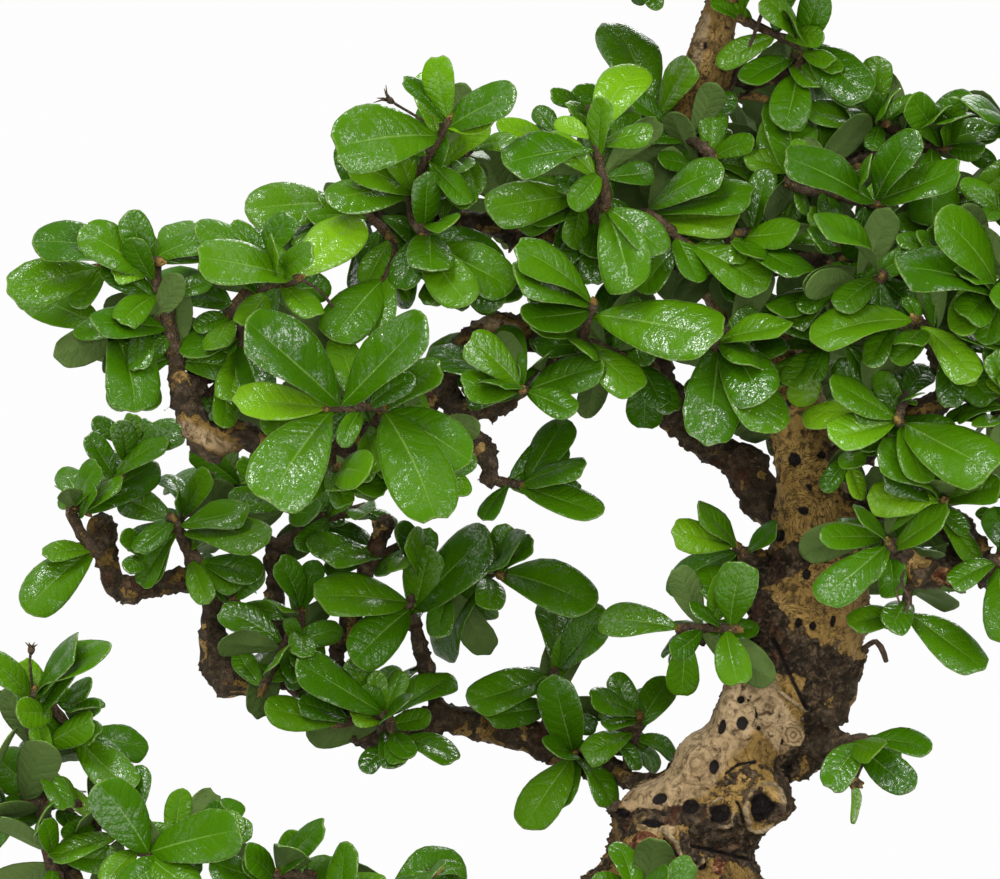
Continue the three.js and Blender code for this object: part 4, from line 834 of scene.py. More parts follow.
def leaf_faces():
    """The quads of a leaf's upper sheet, lower sheet and edge."""
    rows, columns = len(ROWS), len(COLUMNS)
    at = np.arange(rows * columns).reshape(rows, columns)
    upper = [(at[i, j], at[i + 1, j], at[i + 1, j + 1], at[i, j + 1])
             for i in range(rows - 1) for j in range(columns - 1)]
    below = rows * columns
    lower = [(d + below, c + below, b + below, a + below) for a, b, c, d in upper]
    rim = [*at[:, 0], *at[-1, 1:], *at[-2::-1, -1], *at[0, -2:0:-1]]
    edge = [(b, a, a + below, b + below) for a, b in zip(rim, rim[1:] + rim[:1])]
    return np.array(upper + lower + edge)


LEAF_FACES = leaf_faces()
BLADE_MARKS = np.array([[c, t, under] for under in (0, 1) for t in ROWS for c in COLUMNS])


def leaf_outline(share, slender, blunt):
    """A leaf's half width at a share of its length: from a short stalk through a wedge to a round tip."""
    stalk = smooth_step(0.0, 0.16, share)
    return (0.25 + 0.75 * stalk) * share ** slender * np.sqrt(np.clip(1 - share ** blunt, 0, 1))


def leaf_spread(chance):
    """How far along each point of a leaf lies, in lengths, and each row's half width against the widest."""
    t = ROWS[:, None]
    slender = chance.uniform(*LEAF_RANGES["slender"])
    blunt = chance.uniform(*LEAF_RANGES["blunt"])
    shares = np.linspace(0, 1, 200)
    outline = leaf_outline(shares, slender, blunt)
    last = leaf_outline(LAST_EDGE, slender, blunt)
    past = shares >= max(LAST_EDGE, shares[outline.argmax()])
    tip_reach = np.interp(np.abs(COLUMNS) * last, outline[past][::-1], shares[past][::-1])
    tooth = chance.uniform(0, 1) ** 3 * TOOTH_DEPTH
    tip_reach = tip_reach - tooth * TOOTH_COLUMNS
    if chance.random() < NOTCH["chance"]:
        tip_reach = tip_reach - NOTCH["depth"] * NOTCH_COLUMNS
    along = LAST_EDGE * t + (tip_reach[None, :] - LAST_EDGE) * t ** 3
    half = leaf_outline(LAST_EDGE * t, slender, blunt) * (1 - 1.4 * tooth * TOOTH_ROWS[:, None])
    return along, np.maximum(half / outline.max(), STALK_WIDTH)


def leaf_points(leaf, chance):
    """The points of a fine leaf over its coarse blade. Its own chances give its shape."""
    base, _, _, half_width = leaf
    length, along, up, side = leaf_axes(leaf)
    roll = chance.gauss(*LEAF_SPREADS["roll"])
    up, side = up * math.cos(roll) + side * math.sin(roll), side * math.cos(roll) - up * math.sin(roll)
    t = ROWS[:, None]
    c = COLUMNS[None, :]
    edge = np.abs(c)
    s, half = leaf_spread(chance)
    wide = half * half_width * length * FINE_WIDTH

    arch = chance.uniform(*LEAF_RANGES["arch"])
    fold = chance.gauss(*LEAF_SPREADS["fold"]) * np.sin(np.pi * t ** 0.8)
    phases = np.where(c < 0, chance.uniform(*LEAF_RANGES["phase"]), chance.uniform(*LEAF_RANGES["phase"]))
    waves = np.sin(2 * np.pi * 1.3 * t + phases)
    ripple = chance.uniform(*LEAF_RANGES["ripple"]) * 0.02 * waves * edge ** 1.6
    curl = chance.uniform(*LEAF_RANGES["curl"]) * edge ** 2.6
    quilt = 0.005 * np.cos(2 * np.pi * (5 * t - 1.1 * edge)) * np.sin(np.pi * edge) * np.sin(np.pi * t)
    droop = chance.uniform(*LEAF_RANGES["droop"])
    rib = RIB["depth"] * np.exp(-(c / RIB["width"]) ** 2) * np.sin(np.pi * t)
    lift = length * (arch * s * (1 - s) - droop * s ** 3 + ripple + quilt) + wide * edge * fold - wide * curl
    bow = chance.uniform(*LEAF_RANGES["bow"]) * length * s * (1 - s)
    twist = chance.gauss(*LEAF_SPREADS["twist"]) * (t - 0.3)
    sideways = wide * c * np.cos(twist) + bow
    lift = lift - rib + wide * c * np.sin(twist)

    middle = base + (s * length)[..., None] * along + sideways[..., None] * side + lift[..., None] * up
    middle = middle.reshape(-1, 3)
    thick = (LEAF_HALF_THICKNESS * (1 - 0.5 * edge ** 3) + 0 * t).reshape(-1, 1)
    return np.concatenate([middle + up * thick, middle - up * thick])


def coarse_tree(leaf, start_share=0.0):
    """A leaf's coarse blade as a tree of faces to test for crossings, from a share of its length on."""
    base, tip, _, _ = leaf
    left, right = coarse_rim(leaf)
    start = base + (tip - base) * start_share
    points = [start, *left, *right[::-1]]
    last = len(points) - 1
    faces = [(0, 1, last)] + [(i, i + 1, last - i, last - i + 1) for i in range(1, len(left))]
    return BVHTree.FromPolygons([Vector(point) for point in points], faces)


class Grove:
    """The leaves that stand already, to keep new ones clear of them and of the wood."""

    def __init__(self, wood):
        self.wood = wood
        self.standing = []

    def add(self, leaf, tuft_key):
        self.standing.append(((leaf[0] + leaf[1]) / 2, np.linalg.norm(leaf[1] - leaf[0]) / 2,
                              coarse_tree(leaf), coarse_tree(leaf, OUTER_SHARE), tuft_key))

    def clear(self, leaf, tuft_key):
        middle = (leaf[0] + leaf[1]) / 2
        reach = np.linalg.norm(leaf[1] - leaf[0]) / 2
        outer = coarse_tree(leaf, OUTER_SHARE)
        if outer.overlap(self.wood):
            return False
        for other_middle, other_reach, whole, other_outer, key in self.standing:
            if np.linalg.norm(middle - other_middle) < reach + other_reach:
                if outer.overlap(other_outer if key == tuft_key else whole):
                    return False
        return True


def refined(rows, step):
    """A smooth row of (point, radius) through coarse ones, a step apart."""
    points = np.array([[*point, radius] for point, radius in rows])
    padded = np.concatenate([2 * points[:1] - points[1:2], points, 2 * points[-1:] - points[-2:-1]])
    fine = []
    for a, b, c, d in zip(padded, padded[1:], padded[2:], padded[3:]):
        count = max(int(np.linalg.norm(c[:3] - b[:3]) / step), 1)
        for t in np.arange(count) / count:
            fine.append(0.5 * (2 * b + (c - a) * t + (2 * a - 5 * b + 4 * c - d) * t ** 2
                               + (3 * b - 3 * c + d - a) * t ** 3))
    fine.append(points[-1])
    return [(row[:3], row[3]) for row in fine]


def tube(soup, rows, sides, lump=0.0, chance=None, **marks):
    """A closed tube through a row of (point, radius), lumpy by a share of its radius."""
    middles = np.array([point for point, _ in rows])
    ways = np.gradient(middles, axis=0)
    across = np.array([0.31, -0.87, 0.38])
    turns = np.arange(sides) * 2 * math.pi / sides
    rings = []
    for (middle, radius), way in zip(rows, ways):
        way = unit(way)
        across = unit(across - way * np.dot(across, way))
        side = np.cross(way, across)
        radii = radius * np.ones(sides)
        if lump:
            radii = radii * np.array([1 + chance.uniform(-lump, lump) for _ in range(sides)])
        round_it = np.cos(turns)[:, None] * across + np.sin(turns)[:, None] * side
        rings.append(middle + radii[:, None] * round_it)
    ends = [middles[0] - unit(ways[0]) * rows[0][1] * 0.4, middles[-1] + unit(ways[-1]) * rows[-1][1] * 0.5]
    points = np.concatenate([*rings, ends])
    at = np.arange(len(rings) * sides).reshape(-1, sides)
    following = np.roll(at, -1, axis=1)
    first, last = len(points) - 2, len(points) - 1
    caps = [[following[0, i], at[0, i], first] for i in range(sides)]
    caps += [[at[-1, i], following[-1, i], last] for i in range(sides)]
    given = {name: np.tile(value, (len(points), 1)) for name, value in marks.items()}
    soup.add(points, ring_faces(len(rings), sides), caps, **given)


def rows_of(limb):
    """A limb's rows of pixels, depth and radius as (point, radius)."""
    return [(seen(x, y, depth), radius) for x, y, depth, radius in limb]


TRUNK_POINTS = np.array([seen(x, y, depth) for x, y, depth, _ in TRUNK])
TRUNK_RADII = np.array([radius for _, _, _, radius in TRUNK], float)


def trunk_at(height):
    """The trunk's middle and radius at one height or at a row of heights."""
    order = np.argsort(TRUNK_POINTS[:, 2])
    heights = TRUNK_POINTS[order, 2]
    middle = np.stack([np.interp(height, heights, TRUNK_POINTS[order, axis]) for axis in (0, 1)], -1)
    return middle, np.interp(height, heights, TRUNK_RADII[order])


def trunk_surface(x, y, side):
    """The point of the trunk's front or back that the photograph shows at a pixel, and its way out."""
    place = seen(x, y, 0)
    (middle_x, middle_y), radius = trunk_at(place[2])
    across = np.clip(place[0] - middle_x, -0.96 * radius, 0.96 * radius)
    out = unit(np.array([across, side * math.sqrt(radius ** 2 - across ** 2), 0]))
    return np.array([middle_x, middle_y, place[2]]) + out * radius, out


def root_rows(degrees, length, thickness=1):
    """A surface root: it dips from the trunk to the soil, wanders, and sinks into it."""
    rows = []
    for share, height, radius in ROOT_COURSE:
        turn = math.radians(degrees) + 0.16 * math.sin(5 * share + degrees) * share
        reach = length * share
        z = SOIL["top"] + height * (0.5 + 0.5 * thickness)
        point = np.array([TRUNK_X + math.cos(turn) * reach, math.sin(turn) * reach, z])
        rows.append((point, radius * thickness))
    return rows


def noise_values(points, scale, seed, octaves):
    """Smooth noise from about -1 to 1 at each point, with features of about 1 / scale mm."""
    offset = Vector((seed * 17.3, seed * 5.1, -seed * 9.7))
    if octaves == 1:
        return np.array([noise.noise(Vector(point) * scale + offset) for point in points])
    return np.array([noise.fractal(Vector(point) * scale + offset, 1, 2, octaves) for point in points])


def gnarled(rows, chance, amount):
    """A limb's rows with the swellings and waists of old wood."""
    phase = chance.uniform(0, 6.3)
    made = []
    for i, (point, radius) in enumerate(rows):
        wave = 0.55 * math.sin(0.8 * i + phase) + 0.35 * math.sin(2.1 * i + 2 * phase)
        wave += chance.uniform(-0.5, 0.5)
        made.append((point + np.array([chance.uniform(-0.12, 0.12) * radius for _ in range(3)]),
                     radius * (1 + amount * wave)))
    return made


def add_stubs(soup, rows, chance):
    """Short dead stubs all round a limb."""
    count = max(int(len(rows) * 2 / STUB_EVERY), 1)
    for _ in range(count):
        i = chance.randrange(1, len(rows) - 1)
        point, radius = rows[i]
        way = unit(rows[i + 1][0] - rows[i - 1][0])
        out = unit(np.cross(way, [chance.gauss(0, 1) for _ in range(3)]))
        lean = unit(out + way * chance.uniform(-0.5, 0.5))
        reach = radius + chance.uniform(0.6, 2.6)
        thick = chance.uniform(0.8, 1.5)
        stub = [(point, thick * 1.3), (point + lean * reach * 0.7, thick),
                (point + lean * reach, thick * 0.7)]
        tube(soup, stub, 8, 0.15, chance)


def add_knots(soup):
    """The stumps of branches that were cut off."""
    for x, y, radius, proud, side in KNOTS:
        place, out = trunk_surface(x, y, side)
        rows = [(place - out * 6, radius * 1.25), (place, radius * 1.15),
                (place + out * proud * 0.8, radius * 0.98), (place + out * proud, radius * 0.8)]
        tube(soup, rows, 22)


def add_lumps(soup, chance):
    """The lumps of the trunk's outline, each from its place in towards the trunk's middle."""
    for x, y, depth, radius in LUMPS:
        place = seen(x, y, depth)
        inner_x = x + (TRUNK_PIXEL - x) * 0.2 if x > TRUNK_LEFT_PIXEL else x + 20
        inwards = seen(inner_x, y, depth + 2)
        rows = [(inwards, radius), ((inwards + place) / 2, radius * 1.1), (place, radius * 0.8)]
        tube(soup, rows, 9, 0.2, chance)


def add_limb(soup, limb, shape, chance):
    """A gnarled limb with stubs on it."""
    rows = gnarled(refined(rows_of(limb), shape["step"]), chance, shape["gnarl"])
    tube(soup, rows, shape["sides"], shape["lumps"], chance)
    add_stubs(soup, rows[shape["bare"]:], chance)


def wood_skin():
    """All the wood as one closed skin: gnarled limbs, stumps and roots, melted into each other."""
    soup = Soup()
    chance = random.Random(SEEDS["wood"])
    tube(soup, refined(rows_of(TRUNK), TRUNK_SHAPE["step"]), TRUNK_SHAPE["sides"])
    for limb in LIMBS.values():
        add_limb(soup, limb, LIMB_SHAPE, chance)
    for limb in TWIG_WOOD:
        add_limb(soup, limb, TWIG_SHAPE, chance)
    for root in ROOTS + FINE_ROOTS:
        rows = refined(root_rows(*root), ROOT_SHAPE["step"])
        tube(soup, rows, ROOT_SHAPE["sides"], ROOT_SHAPE["lumps"], chance)
    add_knots(soup)
    add_lumps(soup, chance)
    skin = soup.piece("wood", None)
    remesh = skin.modifiers.new("melt", "REMESH")
    remesh.mode = "VOXEL"
    remesh.voxel_size = WOOD_CELL / MM_PER_METRE
    remesh.use_smooth_shade = True
    smooth = skin.modifiers.new("smooth", "SMOOTH")
    smooth.factor = 0.5
    smooth.iterations = 2
    apply_modifiers(skin)
    return skin


def split_front(skin):
    """Splits the faces on the photographed front of the trunk, which carries the finest marks."""
    mesh = bmesh.new()
    mesh.from_mesh(skin.data)
    points = (np.array([face.calc_center_median()[:] for face in mesh.faces]) - SHIFT) * MM_PER_METRE
    facing = np.array([face.normal[1] for face in mesh.faces]) < 0.2
    middle, radius = trunk_at(points[:, 2])
    rows = pixels_of(points)[:, 1]
    on_trunk = np.linalg.norm(points[:, :2] - middle, axis=1) < 1.4 * radius
    chosen = on_trunk & facing & (rows > FINE_ROWS[0]) & (rows < FINE_ROWS[1])
    edges = {edge for face, is_chosen in zip(mesh.faces, chosen) if is_chosen for edge in face.edges}
    bmesh.ops.subdivide_edges(mesh, edges=list(edges), cuts=2, use_grid_fill=True)
    mesh.to_mesh(skin.data)
    mesh.free()
    skin.data.shade_smooth()


def in_zones(pixels, zones):
    """How deep each pixel lies in the nearest of some zones: 1 in the middle of one, 0 from its edge on."""
    deepest = np.zeros(len(pixels))
    for x0, y0, x1, y1, radius in zones:
        start = np.array([x0, y0], float)
        way = np.array([x1, y1], float) - start
        share = np.clip((pixels - start) @ way / max(way @ way, 1), 0, 1)
        distance = np.linalg.norm(pixels - start - share[:, None] * way, axis=1)
        deepest = np.maximum(deepest, 1 - distance / radius)
    return deepest


def around(pixels, x, y, half_width, half_height, turn=0):
    """How far each pixel lies from a place, in half widths and heights of a turned oval."""
    cos, sin = math.cos(math.radians(turn)), math.sin(math.radians(turn))
    across, down = pixels[:, 0] - x, pixels[:, 1] - y
    return np.hypot((across * cos + down * sin) / half_width, (down * cos - across * sin) / half_height)


class Bark:
    """How dark, bleached, pitted and scarred the wood is at each point, with painted shade in its holes and
    creases and painted light on the upper trunk, and how far its bark stands out.
    """

    def __init__(self, points, normals):
        self.pixels = pixels_of(points)
        self.broad = noise_values(points, *BARK_NOISE["broad"])
        self.middling = noise_values(points, *BARK_NOISE["middling"])
        self.fine = noise_values(points, *BARK_NOISE["fine"])
        middle, radius = trunk_at(points[:, 2])
        out = np.linalg.norm(points[:, :2] - middle, axis=1) / radius
        low_down = smooth_step(SOIL["top"] + 36, SOIL["top"] + 16, points[:, 2])
        self.on_trunk = np.maximum(1 - smooth_step(1.12, 1.4, out), low_down)
        self.facing = smooth_step(0.3, -0.15, normals[:, 1])
        self.near = self.facing > 0.05
        self.dark = self.darkness()
        pale = in_zones(self.pixels, BLEACHED_ZONES) + 0.15 * self.middling
        self.bleached = smooth_step(0.0, 0.5, pale) * self.facing * (1 - self.dark)
        self.recess_shade = np.zeros(len(points))
        self.ring = np.zeros(len(points))
        self.scar = np.zeros((len(points), 3))
        self.lift = self.rough_lift()
        self.carve_holes()
        self.raise_scars()
        self.carve_creases()

    def darkness(self):
        """How far black bark covers the wood: by noise at the back, as the photograph shows it in front."""
        tan_back = smooth_step(-0.3, 0.25, self.broad + 0.5 * self.middling)
        tan_limb = smooth_step(0.1, 0.5, self.middling + 0.3 * self.fine)
        dark = 1 - 0.9 * tan_back * self.on_trunk - 0.8 * (1 - self.on_trunk) * tan_limb
        zones = in_zones(self.pixels, DARK_ZONES)
        pale = smooth_step(0.0, 0.35, in_zones(self.pixels, BLEACHED_ZONES))
        ragged = zones + 0.32 * self.middling + 0.22 * self.fine - 0.3 * pale * (zones < 0.25)
        front_dark = np.clip(0.05 + 1.4 * smooth_step(-0.05, 0.4, ragged), 0, 1)
        front = self.facing * self.on_trunk
        dark = dark * (1 - front) + front_dark * front
        tan_zones = in_zones(self.pixels, TAN_ZONES) + 0.2 * self.middling
        return dark * (1 - smooth_step(0.0, 0.5, tan_zones) * self.facing)

    def rough_lift(self):
        """How far the bark stands out, before its holes, scars and creases."""
        lift = self.broad * 0.9 * self.on_trunk + self.middling * (0.35 + 0.7 * self.dark)
        lift -= 0.45 * (1 - self.on_trunk)
        lift += self.dark * (0.8 * np.abs(self.fine) + 0.75 * self.fine)
        for x, y, radius, depth in HOLLOWS:
            lift -= depth * (1 - smooth_step(0.0, 1.0, around(self.pixels, x, y, radius, radius)))
        return lift

    def carve_holes(self):
        """Holes and cut knots, with a broken lip round each and painted shade in each."""
        broken = np.clip(0.55 + 1.3 * self.middling + 0.5 * self.broad, 0, 1)
        for x, y, half_width, half_height, turn, depth, lip in HOLES:
            away = around(self.pixels, x, y, half_width, half_height, turn)
            away = away + 0.22 * self.middling + 0.1 * self.fine
            hole = self.near * (1 - smooth_step(0.68, 1.0, away))
            around_it = self.near * np.exp(-((away - 1.24) / 0.16) ** 2) * broken
            self.lift += lip * around_it - depth * hole
            # Painted shade: the inside of each hole is marked to be near black.
            self.recess_shade = np.maximum(self.recess_shade, hole)
            self.ring = np.maximum(self.ring, around_it * min(lip * 1.3, 1))

    def raise_scars(self):
        """Healed scars, which stand out, and the most at their rims."""
        for x, y, half_width, half_height, height, red in SCARS:
            away = around(self.pixels, x, y, half_width, half_height) + 0.08 * self.middling
            inside = self.near * (1 - smooth_step(0.9, 1.05, away))
            self.lift += (height * inside * (0.6 + 0.4 * smooth_step(0.4, 0.95, away))
                          + 0.5 * np.abs(self.fine) * inside * red)
            marks = np.column_stack([away, inside, np.full(len(away), red)])
            self.scar = np.where(inside[:, None] > 0.02, marks, self.scar)

    def carve_creases(self):
        """Creases, carved in and darkened with painted shade, and ridges, which are pale."""
        for x0, y0, x1, y1, half_width, depth in CREASES:
            line = smooth_step(0, 0.7, in_zones(self.pixels, [[x0, y0, x1, y1, half_width * 1.4]]))
            line = line * self.near
            self.lift -= depth * line
            self.recess_shade = np.maximum(self.recess_shade, 0.8 * line * (depth > 0))
            self.ring = np.maximum(self.ring, 0.7 * line * (depth < 0))

    def marks(self):
        """The marks that the bark's material reads, each with three values for every point."""
        dark = np.clip(self.dark * (1 - 0.85 * self.ring) * (1 - self.scar[:, 1]), 0, 1)
        # Painted light: paler tan on the upper trunk, where the leaves above shade it.
        painted_light_tan = smooth_step(0.0, 0.6, in_zones(self.pixels, PAINTED_LIGHT_ZONES)) * self.facing
        return {"bark": np.stack([dark, self.recess_shade, self.ring], 1),
                "bleach_and_painted_light": np.stack([self.bleached, 1 - self.on_trunk, painted_light_tan], 1), "scar": self.scar}


def make_wood(material):
    """The skin of the wood with its bark shaped and marked, thinned to a share of its faces."""
    skin = wood_skin()
    split_front(skin)
    points = tree_frame_points(skin.data.vertices)
    normals = tree_frame_points(skin.data.vertices, "normal")
    bark = Bark(points, normals)
    points = points + normals * bark.lift[:, None]
    points[:, 2] = np.maximum(points[:, 2], SOIL["top"] - 8)
    skin.data.vertices.foreach_set("co", metres(points).ravel())
    for name, values in bark.marks().items():
        set_mark(skin.data, name, values)
    skin.data.update()
    thin = skin.modifiers.new("thin", "DECIMATE")
    thin.ratio = WOOD_SHARE
    apply_modifiers(skin)
    skin.data.materials.clear()
    skin.data.materials.append(material)
    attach(skin, "root")
    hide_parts("trunk_and_branches")
    return skin


def pot_ring(height, inset, corner_steps=10, side_steps=6):
    """The pot's outer ring at a height, drawn in by "inset" on every side."""
    drawn_in = inset + POT["taper"] * (1 - height / POT["height"])
    corner = POT["corner"] - min(inset, POT["corner"] / 2)
    x = POT["length"] / 2 - drawn_in - corner
    y = POT["width"] / 2 - drawn_in - corner
    corners = []
    for quarter, (middle_x, middle_y) in enumerate([(x, y), (-x, y), (-x, -y), (x, -y)]):
        turns = (quarter + np.arange(corner_steps + 1) / corner_steps) * math.pi / 2
        corners.append(np.stack([middle_x + corner * np.cos(turns), middle_y + corner * np.sin(turns)], 1))
    ring = []
    for here, there in zip(corners, corners[1:] + corners[:1]):
        shares = np.arange(1, side_steps)[:, None] / side_steps
        ring.append(here)
        ring.append(here[-1] * (1 - shares) + there[0] * shares)
    ring = np.concatenate(ring)
    return np.column_stack([ring, np.full(len(ring), height)])


def pot_profile():
    """(height, inset) from the middle of the underside, over the lip and down to the floor inside."""
    under_lip = POT["height"] - POT["lip_height"]
    lip = POT["lip"]
    wall = lip + POT["wall"]
    foot = FOOT["height"]
    floor = foot + POT["floor"]
    top = POT["height"]
    return [
        (foot, 40), (foot, 14), (foot + 0.4, lip + 3.2), (foot + 1.4, lip + 1), (foot + 3, lip + 0.1),
        (foot + 8, lip), (foot + 20, lip - 0.3), (foot + 34, lip - 0.3), (under_lip - 6, lip),
        (under_lip - 3.4, lip - 0.1), (under_lip - 2.2, lip - 1), (under_lip - 1, 1.2), (under_lip, 0.3),
        (under_lip + 1.2, 0), (top - 3, 0), (top - 1.2, 0.3), (top - 0.35, 1), (top, 2.2),
        (top, POT["wall"] + 2), (top - 0.5, wall - 1.2), (top - 2, wall - 0.2), (top - 5, wall),
        (floor + 3, wall), (floor, wall + 3), (floor, 40),
    ]


def make_pot(material):
    """The pot's turned-over shell on four feet, with drain holes."""
    soup = Soup()
    soup.add_rings([pot_ring(height, inset) for height, inset in pot_profile()])
    pot = soup.piece("clay_pot", material)
    for x, y in [(1, 1), (-1, 1), (-1, -1), (1, -1)]:
        join(pot, foot_block(x * FOOT["x"], y * FOOT["y"]), "UNION")
    for side in (-1, 1):
        join(pot, drain_plug(side * DRAIN["x"]), "DIFFERENCE")
    pot.data.shade_smooth()
    pot.data.set_sharp_from_angle(angle=POT_SHARP)
    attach(pot, "root")
    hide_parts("pot")


def join(target, tool, operation):
    """Adds one closed mesh to another, or cuts it away, and removes the tool."""
    boolean = target.modifiers.new("join", "BOOLEAN")
    boolean.operation = operation
    boolean.solver = "EXACT"
    boolean.object = tool
    apply_modifiers(target)
    bpy.data.objects.remove(tool)


def foot_block(x, y):
    """A foot with rounded edges and a slight taper."""
    levels = [(0, 1.6), (0.5, 0.5), (1.6, 0), (FOOT["height"] - 1, -0.8), (FOOT["height"] + 3, -1.2)]
    turns = np.arange(FOOT["corners"]) * 2 * math.pi / FOOT["corners"]
    cos, sin = np.cos(turns), np.sin(turns)
    rings = []
    for height, inset in levels:
        across = np.sign(cos) * np.abs(cos) ** FOOT["squareness"] * (FOOT["length"] / 2 - inset)
        deep = np.sign(sin) * np.abs(sin) ** FOOT["squareness"] * (FOOT["width"] / 2 - inset)
        rings.append(np.column_stack([x + across, y + deep, np.full(len(turns), float(height))]))
    soup = Soup()
    soup.add_rings(rings)
    return soup.piece("foot", None)


def drain_plug(x):
    """The round plug that a drain hole is cut with."""
    soup = Soup()
    tube(soup, [(np.array([x, 0.0, height]), DRAIN["radius"]) for height in DRAIN["heights"]], 40)
    return soup.piece("drain", None)


def soil_height(x, y):
    """The height of the soil's surface, a low mound with hollows, that dips at the pot's wall."""
    inner_x = POT["length"] / 2 - POT["lip"] - POT["wall"]
    inner_y = POT["width"] / 2 - POT["lip"] - POT["wall"]
    inside = np.minimum(inner_x - np.abs(x), inner_y - np.abs(y))
    height = SOIL["top"] - 0.6 - SOIL["slope"] * (1 - smooth_step(0, SOIL["slope_width"], inside))
    return height + SOIL["bumps"] * noise_values(np.column_stack([x, y, 0 * x]), *SOIL_NOISE)


def make_soil(material):
    """The soil's mound and, on it, loose grains of several sizes."""
    inset = POT["lip"] + POT["wall"] + SOIL["gap"]
    outer = pot_ring(SOIL["top"] - 6, inset)
    rings = [pot_ring(FOOT["height"] + POT["floor"] + SOIL["gap"], inset)]
    for share in SOIL_SHARES:
        ring = outer.copy()
        ring[:, :2] *= share
        ring[:, 2] = soil_height(ring[:, 0], ring[:, 1])
        rings.append(ring)
    soup = Soup()
    soup.add_rings(rings, grain=np.tile(BARE_SOIL, (len(rings) * len(outer), 1)))
    chance = random.Random(SEEDS["soil"])
    reach_x = outer[:, 0].max() - 2
    reach_y = outer[:, 1].max() - 2
    for _ in range(GRAINS):
        x = chance.uniform(-reach_x, reach_x)
        y = chance.uniform(-reach_y, reach_y)
        past_x = max(abs(x) - reach_x + GRAIN_CORNER, 0)
        past_y = max(abs(y) - reach_y + GRAIN_CORNER, 0)
        if math.hypot(past_x, past_y) < GRAIN_CORNER:
            add_grain(soup, x, y, chance)
    soil = soup.piece("soil_and_grains", material)
    soil.data.set_sharp_from_angle(angle=SOIL_SHARP)
    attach(soil, "root")
    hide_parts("soil")


GOLDEN_RATIO = (1 + math.sqrt(5)) / 2
GRAIN_POINTS = np.array([[a, b * GOLDEN_RATIO, 0] for a in (-1, 1) for b in (-1, 1)]
                        + [[0, a, b * GOLDEN_RATIO] for a in (-1, 1) for b in (-1, 1)]
                        + [[a * GOLDEN_RATIO, 0, b] for b in (-1, 1) for a in (-1, 1)]) / 1.9


def grain_faces():
    """The 20 triangles of a grain's rough ball, turned outwards."""
    faces = []
    for a, b, c in itertools.combinations(range(len(GRAIN_POINTS)), 3):
        corners = GRAIN_POINTS[[a, b, c]]
        sides = [np.linalg.norm(corners[i] - corners[i - 1]) for i in range(3)]
        if max(sides) < GRAIN["longest side"]:
            out = np.cross(corners[1] - corners[0], corners[2] - corners[0])
            faces.append([a, b, c] if np.dot(out, corners.sum(0)) > 0 else [a, c, b])
    return faces


GRAIN_FACES = grain_faces()


def add_grain(soup, x, y, chance):
    """A grain of grit half sunk in the soil."""
    size = GRAIN["smallest"] + GRAIN["spread"] * chance.random() ** GRAIN["few large"]
    stretch = np.array([chance.uniform(*GRAIN[side]) for side in ("wide", "wide", "flat")])
    turn = chance.uniform(0, 2 * math.pi)
    spin = np.array([[math.cos(turn), -math.sin(turn), 0], [math.sin(turn), math.cos(turn), 0], [0, 0, 1]])
    count = len(GRAIN_POINTS)
    lumps = np.array([chance.uniform(*GRAIN["lumps"]) for _ in range(count)])[:, None]
    ball = (GRAIN_POINTS * lumps * stretch * size) @ spin.T
    height = soil_height(np.array([x]), np.array([y]))[0]
    look = np.tile([chance.random(), chance.random(), 1], (count, 1))
    soup.add(ball + [x, y, height + size * GRAIN["proud"]], GRAIN_FACES, grain=look)


